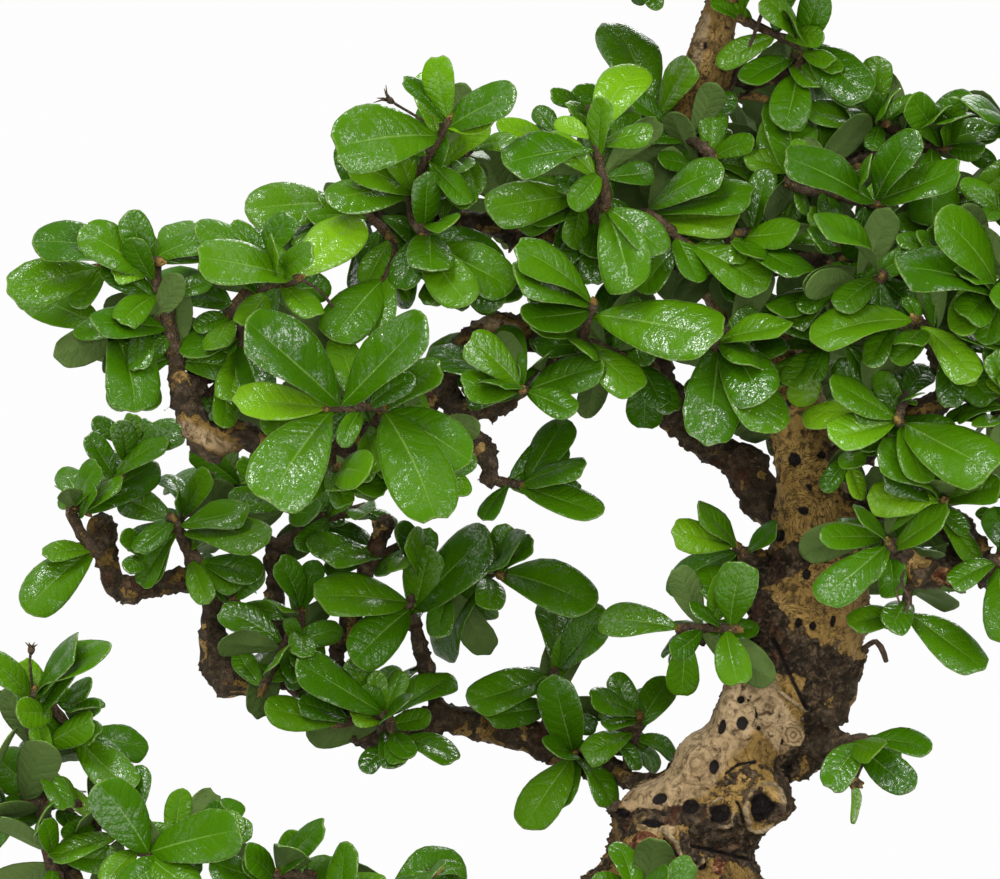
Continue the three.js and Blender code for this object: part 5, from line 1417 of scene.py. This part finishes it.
class Shader:
    """A node material that is built up value by value."""

    def __init__(self, name):
        self.material = bpy.data.materials.new(name)
        self.material.use_nodes = True
        self.nodes = self.material.node_tree.nodes
        self.nodes.clear()
        self.output = self.nodes.new("ShaderNodeOutputMaterial")
        self.surface = self.nodes.new("ShaderNodeBsdfPrincipled")
        self.link(self.surface.outputs[0], self.output.inputs[0])
        self.place = self.nodes.new("ShaderNodeTexCoord").outputs["Object"]

    def link(self, source, target):
        self.material.node_tree.links.new(source, target)

    def put(self, socket, value):
        """Links a value to a socket, or sets the socket to it where it's a constant."""
        if isinstance(value, bpy.types.NodeSocket):
            self.link(value, socket)
        else:
            socket.default_value = value

    def mark(self, name):
        """The three parts of a mark that the mesh carries."""
        attribute = self.nodes.new("ShaderNodeAttribute")
        attribute.attribute_name = name
        return self.parts(attribute.outputs["Vector"])

    def parts(self, vector):
        made = self.nodes.new("ShaderNodeSeparateXYZ")
        self.link(vector, made.inputs[0])
        return made.outputs

    def pointiness(self):
        return self.nodes.new("ShaderNodeNewGeometry").outputs["Pointiness"]

    def math(self, operation, *values):
        made = self.nodes.new("ShaderNodeMath")
        made.operation = operation
        for socket, value in zip(made.inputs, values):
            self.put(socket, value)
        return made.outputs[0]

    def multiply(self, a, b):
        return self.math("MULTIPLY", a, b)

    def add(self, a, b):
        return self.math("ADD", a, b)

    def subtract(self, a, b):
        return self.math("SUBTRACT", a, b)

    def zigzag(self, value):
        """A value folded up and down between 0 and a half."""
        return self.math("PINGPONG", value, 0.5)

    def noise(self, scale, detail=2.0, roughness=0.5, distortion=0.0):
        made = self.nodes.new("ShaderNodeTexNoise")
        self.link(self.place, made.inputs["Vector"])
        made.inputs["Scale"].default_value = scale
        made.inputs["Detail"].default_value = detail
        made.inputs["Roughness"].default_value = roughness
        made.inputs["Distortion"].default_value = distortion
        return made.outputs["Fac"]

    def bands(self, scale):
        """Noise that changes with the height alone."""
        made = self.nodes.new("ShaderNodeTexNoise")
        made.noise_dimensions = "1D"
        self.link(self.parts(self.place)[2], made.inputs["W"])
        made.inputs["Scale"].default_value = scale
        return made.outputs["Fac"]

    def cells(self, scale):
        """How far a point lies from the nearest middle of a cell."""
        made = self.nodes.new("ShaderNodeTexVoronoi")
        self.link(self.place, made.inputs["Vector"])
        made.inputs["Scale"].default_value = scale
        return made.outputs["Distance"]

    def step(self, value, low, high, to_low=0.0, to_high=1.0):
        """A value's smooth rise from one level to another."""
        made = self.nodes.new("ShaderNodeMapRange")
        made.interpolation_type = "SMOOTHSTEP"
        for socket, given in zip(made.inputs[:5], (value, low, high, to_low, to_high)):
            self.put(socket, given)
        return made.outputs[0]

    def ramp(self, value, stops):
        made = self.nodes.new("ShaderNodeValToRGB")
        self.put(made.inputs[0], value)
        elements = made.color_ramp.elements
        while len(elements) < len(stops):
            elements.new(0.5)
        for element, (position, color) in zip(elements, stops):
            element.position = position
            element.color = (*color, 1)
        return made.outputs[0]

    def mix(self, factor, a, b):
        made = self.nodes.new("ShaderNodeMix")
        made.data_type = "RGBA"
        self.put(made.inputs["Factor"], factor)
        for socket, value in ((made.inputs[6], a), (made.inputs[7], b)):
            self.put(socket, (*value, 1) if isinstance(value, tuple) else value)
        return made.outputs[2]

    def bump(self, height, distance, strength=1.0, under=None):
        made = self.nodes.new("ShaderNodeBump")
        self.put(made.inputs["Height"], height)
        made.inputs["Distance"].default_value = distance
        self.put(made.inputs["Strength"], strength)
        if under:
            self.link(under, made.inputs["Normal"])
        return made.outputs[0]

    def finish(self, color, roughness, normal, specular):
        """Gives the surface its color, roughness, normal and specular level."""
        self.put(self.surface.inputs["Base Color"], color)
        self.put(self.surface.inputs["Roughness"], roughness)
        self.link(normal, self.surface.inputs["Normal"])
        self.surface.inputs["Specular IOR Level"].default_value = specular
        return self.material


def leaf_veins(s, along, edge):
    """How far a side vein is, and how much of a point is side vein, rib and pale edge."""
    wander = s.multiply(s.noise(180, 2), 1.1)
    phase = s.add(s.subtract(s.multiply(along, 7.5), s.multiply(edge, 1.5)), wander)
    away = s.zigzag(phase)
    side_vein = s.multiply(s.step(away, 0.0, 0.1, 1.0, 0.0), s.step(edge, 0.05, 0.9, 1.0, 0.0))
    rib_width = s.step(along, 0.0, 1.0, 0.075, 0.022)
    rib = s.step(s.math("DIVIDE", edge, rib_width), 0.4, 1.1, 1.0, 0.0)
    rib = s.multiply(rib, s.step(along, 0.5, 1.0, 1.0, 0.35))
    rim = s.math("MAXIMUM", s.step(edge, 0.95, 0.995), s.step(along, 0.982, 0.998))
    margin = s.multiply(rim, s.step(s.noise(1300, 1), 0.38, 0.55, 0.3, 1.0))
    return away, side_vein, rib, margin


def leaf_color(s, tone, age, under, side_vein, rib, margin):
    """Green by tone and age, with pale veins, edge and flecks, and a duller underside."""
    patch = s.noise(90, 3, 0.6)
    shade = s.add(s.multiply(tone, 0.62), s.multiply(patch, 0.42))
    color = s.mix(age, s.ramp(shade, LEAF_RAMPS["old"]), s.ramp(shade, LEAF_RAMPS["fresh"]))
    color = s.mix(s.multiply(side_vein, 0.10), color, LEAF_COLORS["side vein"])
    color = s.mix(s.multiply(rib, 0.48), color, LEAF_COLORS["rib"])
    color = s.mix(s.multiply(margin, 0.45), color, LEAF_COLORS["margin"])
    fleck = s.step(s.noise(1500, 2, 0.6), 0.60, 0.75)
    color = s.mix(s.multiply(fleck, 0.12), color, LEAF_COLORS["fleck"])
    pale = s.mix(patch, LEAF_COLORS["dark underside"], LEAF_COLORS["pale underside"])
    return s.mix(s.step(under, 0.4, 0.6), color, pale)


def add_leaf_coat(s, gloss, under, folds):
    """A gloss on the upper side, in patches and grains."""
    shiny = s.multiply(s.step(s.noise(110, 2, 0.6), 0.42, 0.53), s.step(gloss, 0.0, 0.8, 0.36, 1.0))
    shiny = s.multiply(shiny, s.step(s.noise(1300, 2, 0.6), 0.44, 0.56, 0.12, 1.0))
    weight = s.multiply(shiny, s.step(under, 0.4, 0.6, 1.0, 0.0))
    s.put(s.surface.inputs["Coat Weight"], weight)
    s.surface.inputs["Coat Roughness"].default_value = LEAF_COAT["roughness"]
    s.surface.inputs["Coat IOR"].default_value = LEAF_COAT["ior"]
    grit = s.bump(s.noise(360, 3, 0.6), 0.0006, 0.6, folds)
    s.link(s.bump(s.noise(2100, 1, 0.5), 0.00020, 0.7, grit), s.surface.inputs["Coat Normal"])


def leaf_material():
    """Glossy green leaves: pale ribs and edges, raised fields between the side veins, and a rough grain."""
    s = Shader("leaf")
    across, along, under = s.mark("blade")
    tone, age, gloss = s.mark("look")
    vein_away, side_vein, rib, margin = leaf_veins(s, along, s.math("ABSOLUTE", across))
    color = leaf_color(s, tone, age, under, side_vein, rib, margin)
    roughness = s.add(s.multiply(s.noise(260, 2), 0.16), s.multiply(under, 0.28))
    roughness = s.add(roughness, 0.22)
    folds = s.bump(s.step(vein_away, 0.0, 0.30), 0.00020, 0.42)
    normal = s.bump(s.noise(380, 2, 0.5), 0.00030, 0.3, folds)
    normal = s.bump(s.noise(1900, 1, 0.5), 0.00042, 0.45, normal)
    add_leaf_coat(s, gloss, under, folds)
    return s.finish(color, roughness, normal, SPECULAR["leaf"])


def tan_bark(s, light, painted_light_tan, grain):
    """The color of smooth tan bark, painted paler as light on the upper trunk, with painted shade in its
    cracks, and its cracks and pores.
    """
    broad = s.noise(70, 4, 0.6)
    tan = s.ramp(broad, BARK_RAMPS["tan"])
    # Painted light: the upper trunk, which the leaves above shade, is made paler tan.
    tan = s.mix(s.multiply(painted_light_tan, 0.5), tan, BARK_COLORS["painted light tan"])
    tan = s.mix(s.step(light, 0.1, 0.8), tan, s.ramp(broad, BARK_RAMPS["bleached"]))
    stain = s.noise(190, 4, 0.65, distortion=2.2)
    tan = s.mix(s.step(stain, 0.44, 0.66, 0.0, 0.7), tan, BARK_COLORS["stain"])
    swirl = s.zigzag(s.multiply(s.noise(95, 3, 0.6, distortion=2.8), 9.0))
    shaded_crack = s.multiply(s.step(swirl, 0.0, 0.13, 1.0, 0.0), s.step(s.noise(60, 2), 0.38, 0.52))
    shaded_crack = s.multiply(shaded_crack, s.step(light, 0.1, 0.8, 0.75, 0.28))
    # Painted shade: the cracks are darkened.
    tan = s.mix(shaded_crack, tan, BARK_COLORS["shaded_crack"])
    tan = s.mix(s.step(grain, 0.5, 0.68), tan, BARK_COLORS["grain"])
    pores = s.step(s.cells(330), 0.07, 0.14, 1.0, 0.0)
    pores = s.multiply(pores, s.step(s.noise(150, 2), 0.45, 0.6))
    tan = s.mix(s.multiply(pores, 0.8), tan, BARK_COLORS["pore"])
    return tan, shaded_crack, pores


def black_bark(s, limb, grain):
    """The color of rough black bark: browner on the limbs, with rust, and a painted highlight on its raised
    edges.
    """
    black = s.ramp(grain, BARK_RAMPS["black"])
    black = s.mix(s.multiply(limb, 0.35), black, BARK_COLORS["limb"])
    rust = s.step(s.noise(110, 3, 0.6), 0.56, 0.7)
    black = s.mix(s.multiply(rust, 0.5), black, BARK_COLORS["rust"])
    # Painted highlight: paler on the raised edges.
    edge_highlight = s.step(s.pointiness(), 0.51, 0.60)
    return s.mix(s.multiply(edge_highlight, 0.55), black, BARK_COLORS["edge_highlight"])


def black_cover(s, dark, light, grain, fine):
    """How far the black bark covers the tan one, with a ragged edge."""
    ragged = s.add(dark, s.multiply(s.subtract(grain, 0.5), 1.1))
    ragged = s.add(ragged, s.multiply(s.subtract(fine, 0.5), 0.5))
    ragged = s.subtract(ragged, s.multiply(light, 0.3))
    return s.step(ragged, 0.40, 0.60)


def scar_color(s, reach, red, grain):
    """Rings of pale wood, or red wood, in a healed scar."""
    uneven = s.multiply(s.noise(210, 3, 0.6), 3.0)
    rings = s.zigzag(s.add(s.multiply(reach, 2.6), uneven))
    return s.mix(red, s.ramp(rings, BARK_RAMPS["scar"]), s.ramp(grain, BARK_RAMPS["red scar"]))


def bark_material():
    """Smooth tan bark with pores and grain, broken by rough black bark, knot holes and pale healed lips;
    painted shade in holes, creases and cracks, painted light on the upper trunk, a painted highlight on raised
    edges.
    """
    s = Shader("bark")
    dark, recess_shade, ring = s.mark("bark")
    light, limb, painted_light_tan = s.mark("bleach_and_painted_light")
    scar_reach, scar, scar_red = s.mark("scar")
    grain = s.noise(420, 5, 0.65, distortion=0.6)
    fine = s.noise(1600, 3, 0.6)

    tan, shaded_crack, pores = tan_bark(s, light, painted_light_tan, grain)
    cover = black_cover(s, dark, light, grain, fine)
    color = s.mix(cover, tan, black_bark(s, limb, grain))
    color = s.mix(s.step(ring, 0.25, 0.7), color, s.ramp(grain, BARK_RAMPS["lip"]))
    # Painted shade: near black in the holes and creases.
    color = s.mix(s.step(recess_shade, 0.2, 0.7), color, BARK_COLORS["recess_shade"])
    color = s.mix(s.step(scar, 0.3, 0.6), color, scar_color(s, scar_reach, scar_red, grain))

    height = s.add(s.multiply(grain, s.step(cover, 0.0, 1.0, 0.35, 1.0)), s.multiply(fine, 0.3))
    flakes = s.noise(230, 4, 0.7, distortion=1.6)
    flakes = s.multiply(s.step(flakes, 0.38, 0.62), cover)
    height = s.add(height, s.multiply(flakes, 0.9))
    height = s.subtract(height, s.multiply(pores, 0.4))
    height = s.subtract(height, s.multiply(shaded_crack, 0.5))
    normal = s.bump(height, 0.0011, 0.85)
    return s.finish(color, s.step(cover, 0.0, 1.0, 0.62, 0.74), normal, SPECULAR["bark"])


def clay_material():
    """Unglazed brown stoneware: iron specks, throwing marks, and edges rubbed paler."""
    s = Shader("clay")
    cloud = s.noise(28, 5, 0.6)
    color = s.ramp(cloud, CLAY_RAMP)
    speck = s.step(s.cells(420), 0.10, 0.18, 1.0, 0.0)
    color = s.mix(s.multiply(speck, 0.7), color, CLAY_COLORS["speck"])
    worn = s.step(s.pointiness(), 0.52, 0.60)
    color = s.mix(s.multiply(worn, 0.45), color, CLAY_COLORS["worn"])
    height = s.add(s.multiply(s.noise(900, 4, 0.6), 0.6), s.multiply(s.bands(420), 0.5))
    normal = s.bump(height, 0.00035, 0.6)
    return s.finish(color, s.step(cloud, 0.3, 0.7, 0.55, 0.72), normal, SPECULAR["clay"])


def soil_material():
    """Dark humus with tan, grey and reddish grains of grit."""
    s = Shader("soil")
    hue, light, is_grain = s.mark("grain")
    crumb = s.noise(700, 5, 0.7)
    grit = s.ramp(hue, SOIL_RAMPS["grit"])
    grit = s.mix(s.step(light, 0.0, 1.0, 0.0, 0.55), grit, SOIL_COLORS["dark"])
    grit = s.mix(s.multiply(crumb, 0.5), grit, SOIL_COLORS["crumb"])
    color = s.mix(is_grain, s.ramp(crumb, SOIL_RAMPS["humus"]), grit)
    normal = s.bump(crumb, 0.0012, 0.8)
    return s.finish(color, s.step(crumb, 0.2, 0.8, 0.8, 0.95), normal, SPECULAR["soil"])


def backdrop_strength(tree):
    """The strength of the white surroundings: one where they are seen, another where they light the tree."""
    path = tree.nodes.new("ShaderNodeLightPath")
    strength = tree.nodes.new("ShaderNodeMapRange")
    strength.inputs["To Min"].default_value = AMBIENT
    strength.inputs["To Max"].default_value = BACKDROP_WHITE
    tree.links.new(path.outputs["Is Camera Ray"], strength.inputs["Value"])
    return strength.outputs[0]


def floor_material():
    """A pale matte floor that fades into the white of the backdrop away from the pot."""
    material = bpy.data.materials.new("floor")
    material.use_nodes = True
    tree = material.node_tree
    nodes = tree.nodes
    link = tree.links.new
    nodes.clear()
    place = nodes.new("ShaderNodeTexCoord")
    away = nodes.new("ShaderNodeVectorMath")
    away.operation = "LENGTH"
    link(place.outputs["Object"], away.inputs[0])
    fade = nodes.new("ShaderNodeMapRange")
    fade.interpolation_type = "SMOOTHSTEP"
    fade.inputs["From Min"].default_value = FLOOR["matte"]
    fade.inputs["From Max"].default_value = FLOOR["white"]
    link(away.outputs["Value"], fade.inputs["Value"])
    matte = nodes.new("ShaderNodeBsdfDiffuse")
    matte.inputs["Color"].default_value = (*FLOOR["color"], 1)
    white = nodes.new("ShaderNodeEmission")
    link(backdrop_strength(tree), white.inputs["Strength"])
    blend = nodes.new("ShaderNodeMixShader")
    link(fade.outputs[0], blend.inputs[0])
    link(matte.outputs[0], blend.inputs[1])
    link(white.outputs[0], blend.inputs[2])
    output = nodes.new("ShaderNodeOutputMaterial")
    link(blend.outputs[0], output.inputs[0])
    return material


def make_floor():
    """A wide flat floor of rings, which faces up."""
    count = FLOOR["corners"]
    turns = np.arange(count) * 2 * math.pi / count
    rings = [np.column_stack([radius * np.cos(turns), radius * np.sin(turns), 0 * turns])
             for radius in FLOOR["rings"]]
    soup = Soup()
    soup.add(np.concatenate(rings), ring_faces(len(rings), count)[:, ::-1], [np.arange(count)])
    floor = soup.piece("floor", floor_material())


def make_surroundings():
    """A plain white world."""
    world = bpy.data.worlds.new("studio")
    bpy.context.scene.world = world
    world.use_nodes = True
    background = world.node_tree.nodes["Background"]
    world.node_tree.links.new(backdrop_strength(world.node_tree), background.inputs["Strength"])
    background.inputs["Color"].default_value = (1, 1, 1, 1)


def make_lights():
    """The soft studio lights, which aim at the middle of the tree."""
    for name, place, size, watts in LIGHTS:
        data = bpy.data.lights.new(name, "AREA")
        data.shape = "DISK"
        data.size = size
        data.energy = watts
        lamp = bpy.data.objects.new(name, data)
        lamp.location = place
        lamp.rotation_euler = (LIGHTS_AIM - Vector(place)).to_track_quat("-Z", "Y").to_euler()
        lamp.visible_camera = False
        bpy.context.scene.collection.objects.link(lamp)


def make_camera():
    """The photograph's own view: level, looking along +Y, close in on the crown's left and the trunk."""
    data = bpy.data.cameras.new("camera")
    data.sensor_width = SENSOR
    data.lens = SENSOR * -EYE[1] / (PHOTO_WIDTH * MM_PER_PIXEL)
    data.clip_end = CLIP_END
    camera = bpy.data.objects.new("camera", data)
    camera.location = metres(EYE)
    camera.rotation_euler = (math.pi / 2, 0, 0)
    bpy.context.scene.collection.objects.link(camera)
    bpy.context.scene.camera = camera


def with_more_tufts(spray, name):
    """A spray with the tufts that are only in the fine model."""
    return {**spray, "tufts": spray["tufts"] + MORE_TUFTS.get(name, [])}


def spurs_of(spray, full):
    """The short side shoots along a spray's stems as (tuft, shoot), to follow the tufts at its ends."""
    chains, _ = stems_of(full)
    sides = ("front", "back") if any("tips" in tuft for tuft in spray["tufts"]) else ("back",)
    spurs = []
    for chain in chains:
        for (start, _), (end, _) in zip(chain, chain[1:]):
            count = int(np.linalg.norm(end - start) / SPUR_EVERY)
            for share in (np.arange(count) + 0.5) / max(count, 1):
                shoot = (start + (end - start) * share, unit(end - start))
                spurs += [({"reach": SPUR_REACH[side], "in_front": side == "front"}, shoot) for side in sides]
    return spurs


def grow_packed(grove, number, name, spray, waiting):
    """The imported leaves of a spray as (leaf, ids). Its other leaves join those that wait for a free place."""
    grown = []
    packed = packed_points_of("spray_" + name)
    full = with_more_tufts(spray, name)
    _, shoots = stems_of(full)
    for tuft_number, (tuft, shoot) in enumerate(zip(full["tufts"], shoots)):
        own = len(tuft["tips"]) if "tips" in tuft else tuft["leaves"]
        is_packed = tuft_number < len(spray["tufts"])
        for i in range(own + more_leaves(tuft)):
            ids = (number, tuft_number, i)
            bend = packed_bend(tuft, shoot, ids, packed) if is_packed and i < own else None
            if bend is None:
                waiting.append((name, tuft, shoot, ids))
            else:
                leaf = leaf_at(tuft, shoot, ids, bend)
                grove.add(leaf, ids[:2])
                grown.append((leaf, ids))
    for spur_number, (tuft, shoot) in enumerate(spurs_of(spray, full), len(full["tufts"])):
        waiting += [(name, tuft, shoot, (number, spur_number, i)) for i in range(SPUR_LEAVES)]
    return grown


def is_hidden(entry):
    """Whether a leaf that waits is none of those that the photograph shows."""
    _, tuft, _, ids = entry
    return ids[2] >= len(tuft.get("tips", []))


def grow_leaves(grove):
    """Every leaf of every spray as {spray: [(leaf, ids)]}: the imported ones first, then the added ones."""
    waiting = []
    grown = {}
    for number, (name, spray) in enumerate(SPRAYS.items()):
        grown[name] = grow_packed(grove, number, name, spray, waiting)
    for name, tuft, shoot, ids in sorted(waiting, key=is_hidden):
        for bend in BENDS:
            leaf = leaf_at(tuft, shoot, ids, bend)
            if not in_the_open(leaf) and grove.clear(leaf, ids[:2]):
                grove.add(leaf, ids[:2])
                grown[name].append((leaf, ids))
                break
    return grown


def in_the_open(leaf):
    """Whether a leaf would be seen where the photograph shows none."""
    base, tip, _, _ = leaf
    places = pixels_of(np.array([tip, 0.4 * base + 0.6 * tip]))
    return in_zones(places, OPEN_ZONES).max() > 0


def more_leaves(tuft):
    """How many leaves a tuft has beyond those of its packed spray."""
    return 2 if "tips" in tuft else 4


def look_of(leaf, ids):
    """A leaf's tone, age and gloss."""
    tip_pixel = pixels_of(leaf[1][None])[0]
    young = any(math.dist(tip_pixel, place) < TIP_REACH for place in YOUNG_TIPS)
    age = 0.55 + 0.4 * draw(*ids, 7) if young else 0.22 * draw(*ids, 7) ** 2
    sparkling = any(math.dist(tip_pixel, place) < TIP_REACH for place in SPARKLING_TIPS)
    gloss = 1.0 if sparkling else draw(*ids, 8) ** 2
    return draw(*ids, 6), age, gloss


def make_sprays(grown, material):
    """One piece of fine leaves for each packed spray. Each leaf has its own chances and its own look."""
    for name, leaves in grown.items():
        soup = Soup()
        for leaf, ids in leaves:
            seed = sum(part * factor for part, factor in zip(ids, LEAF_SEED))
            points = leaf_points(leaf, random.Random(seed))
            look = np.tile(look_of(leaf, ids), (len(points), 1))
            soup.add(points, LEAF_FACES, blade=BLADE_MARKS, look=look)
        piece = soup.piece("leaves_" + name, material)
        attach(piece, "root")
        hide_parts("spray_" + name)


def add_cup(soup, stalk, reach, chance):
    """A dry flower cup at the end of its stalk: a small bulb, and thin points that spread out of it."""
    line = refined([(seen(*row), CUP_STALK) for row in stalk], 0.8)
    tube(soup, line, 7, 0.1, chance, bark=DARKNESS["cup"])
    place = line[-1][0]
    up = unit(place - line[-4][0])
    across = unit(np.cross(up, [0, 1, 0]))
    other = np.cross(up, across)
    bulb = [(place - up * 0.5, 0.4), (place + up * 0.2, 0.85), (place + up * 0.9, 0.95),
            (place + up * 1.6, 0.6)]
    tube(soup, bulb, 9, 0.08, chance, bark=DARKNESS["cup"])
    for i in range(CUP_POINTS):
        turn = 2 * math.pi * (i + chance.uniform(-0.25, 0.25)) / CUP_POINTS
        out = across * math.cos(turn) + other * math.sin(turn)
        start = place + up * 1.1 + out * 0.45
        long = reach * chance.uniform(0.8, 1.2)
        rows = [(start, 0.32), (start + (out * 0.3 + up * 0.55) * long * 0.6, 0.24),
                (start + (out * 0.66 + up * 0.7) * long, 0.09)]
        tube(soup, rows, 6, 0.1, chance, bark=DARKNESS["cup"])


def make_twigs(material):
    """The stems of all the sprays with a bud at each leafy end, the dead twigs and the dry flower cups."""
    soup = Soup()
    chance = random.Random(SEEDS["twigs"])
    for name, spray in SPRAYS.items():
        chains, shoots = stems_of(with_more_tufts(spray, name))
        for chain in chains:
            rows = gnarled(refined(chain, TWIG_STEP), chance, 0.12)
            tube(soup, rows, 9, 0.14, chance, bark=DARKNESS["stem"])
        for point, way in shoots:
            for _ in range(BUD_SCALES):
                lean = way + np.array([chance.uniform(-0.5, 0.5) for _ in range(3)])
                rows = [(point - way * 1.5, 1.2), (point + lean * 0.4, 1.0), (point + lean * 1.6, 0.3)]
                tube(soup, rows, 7, 0.15, chance, bark=DARKNESS["bud"])
    for radius, rows in DEAD_TWIGS:
        line = refined([(seen(*row), radius) for row in rows], TWIG_STEP)
        tube(soup, line, 7, 0.2, chance, bark=DARKNESS["dead twig"])
    for reach, stalk in CUPS:
        add_cup(soup, stalk, reach, chance)
    piece = soup.piece("twigs", material)
    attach(piece, "root")


def main():
    make_camera()
    make_floor()
    make_surroundings()
    make_lights()
    bpy.context.scene.view_settings.view_transform = "Standard"
    bark = bark_material()
    wood = make_wood(bark)
    wood_points = [Vector(point) for point in tree_frame_points(wood.data.vertices)]
    wood_faces = [list(face.vertices) for face in wood.data.polygons]
    grown = grow_leaves(Grove(BVHTree.FromPolygons(wood_points, wood_faces)))
    make_sprays(grown, leaf_material())
    make_twigs(bark)
    make_soil(soil_material())
    make_pot(clay_material())


main()
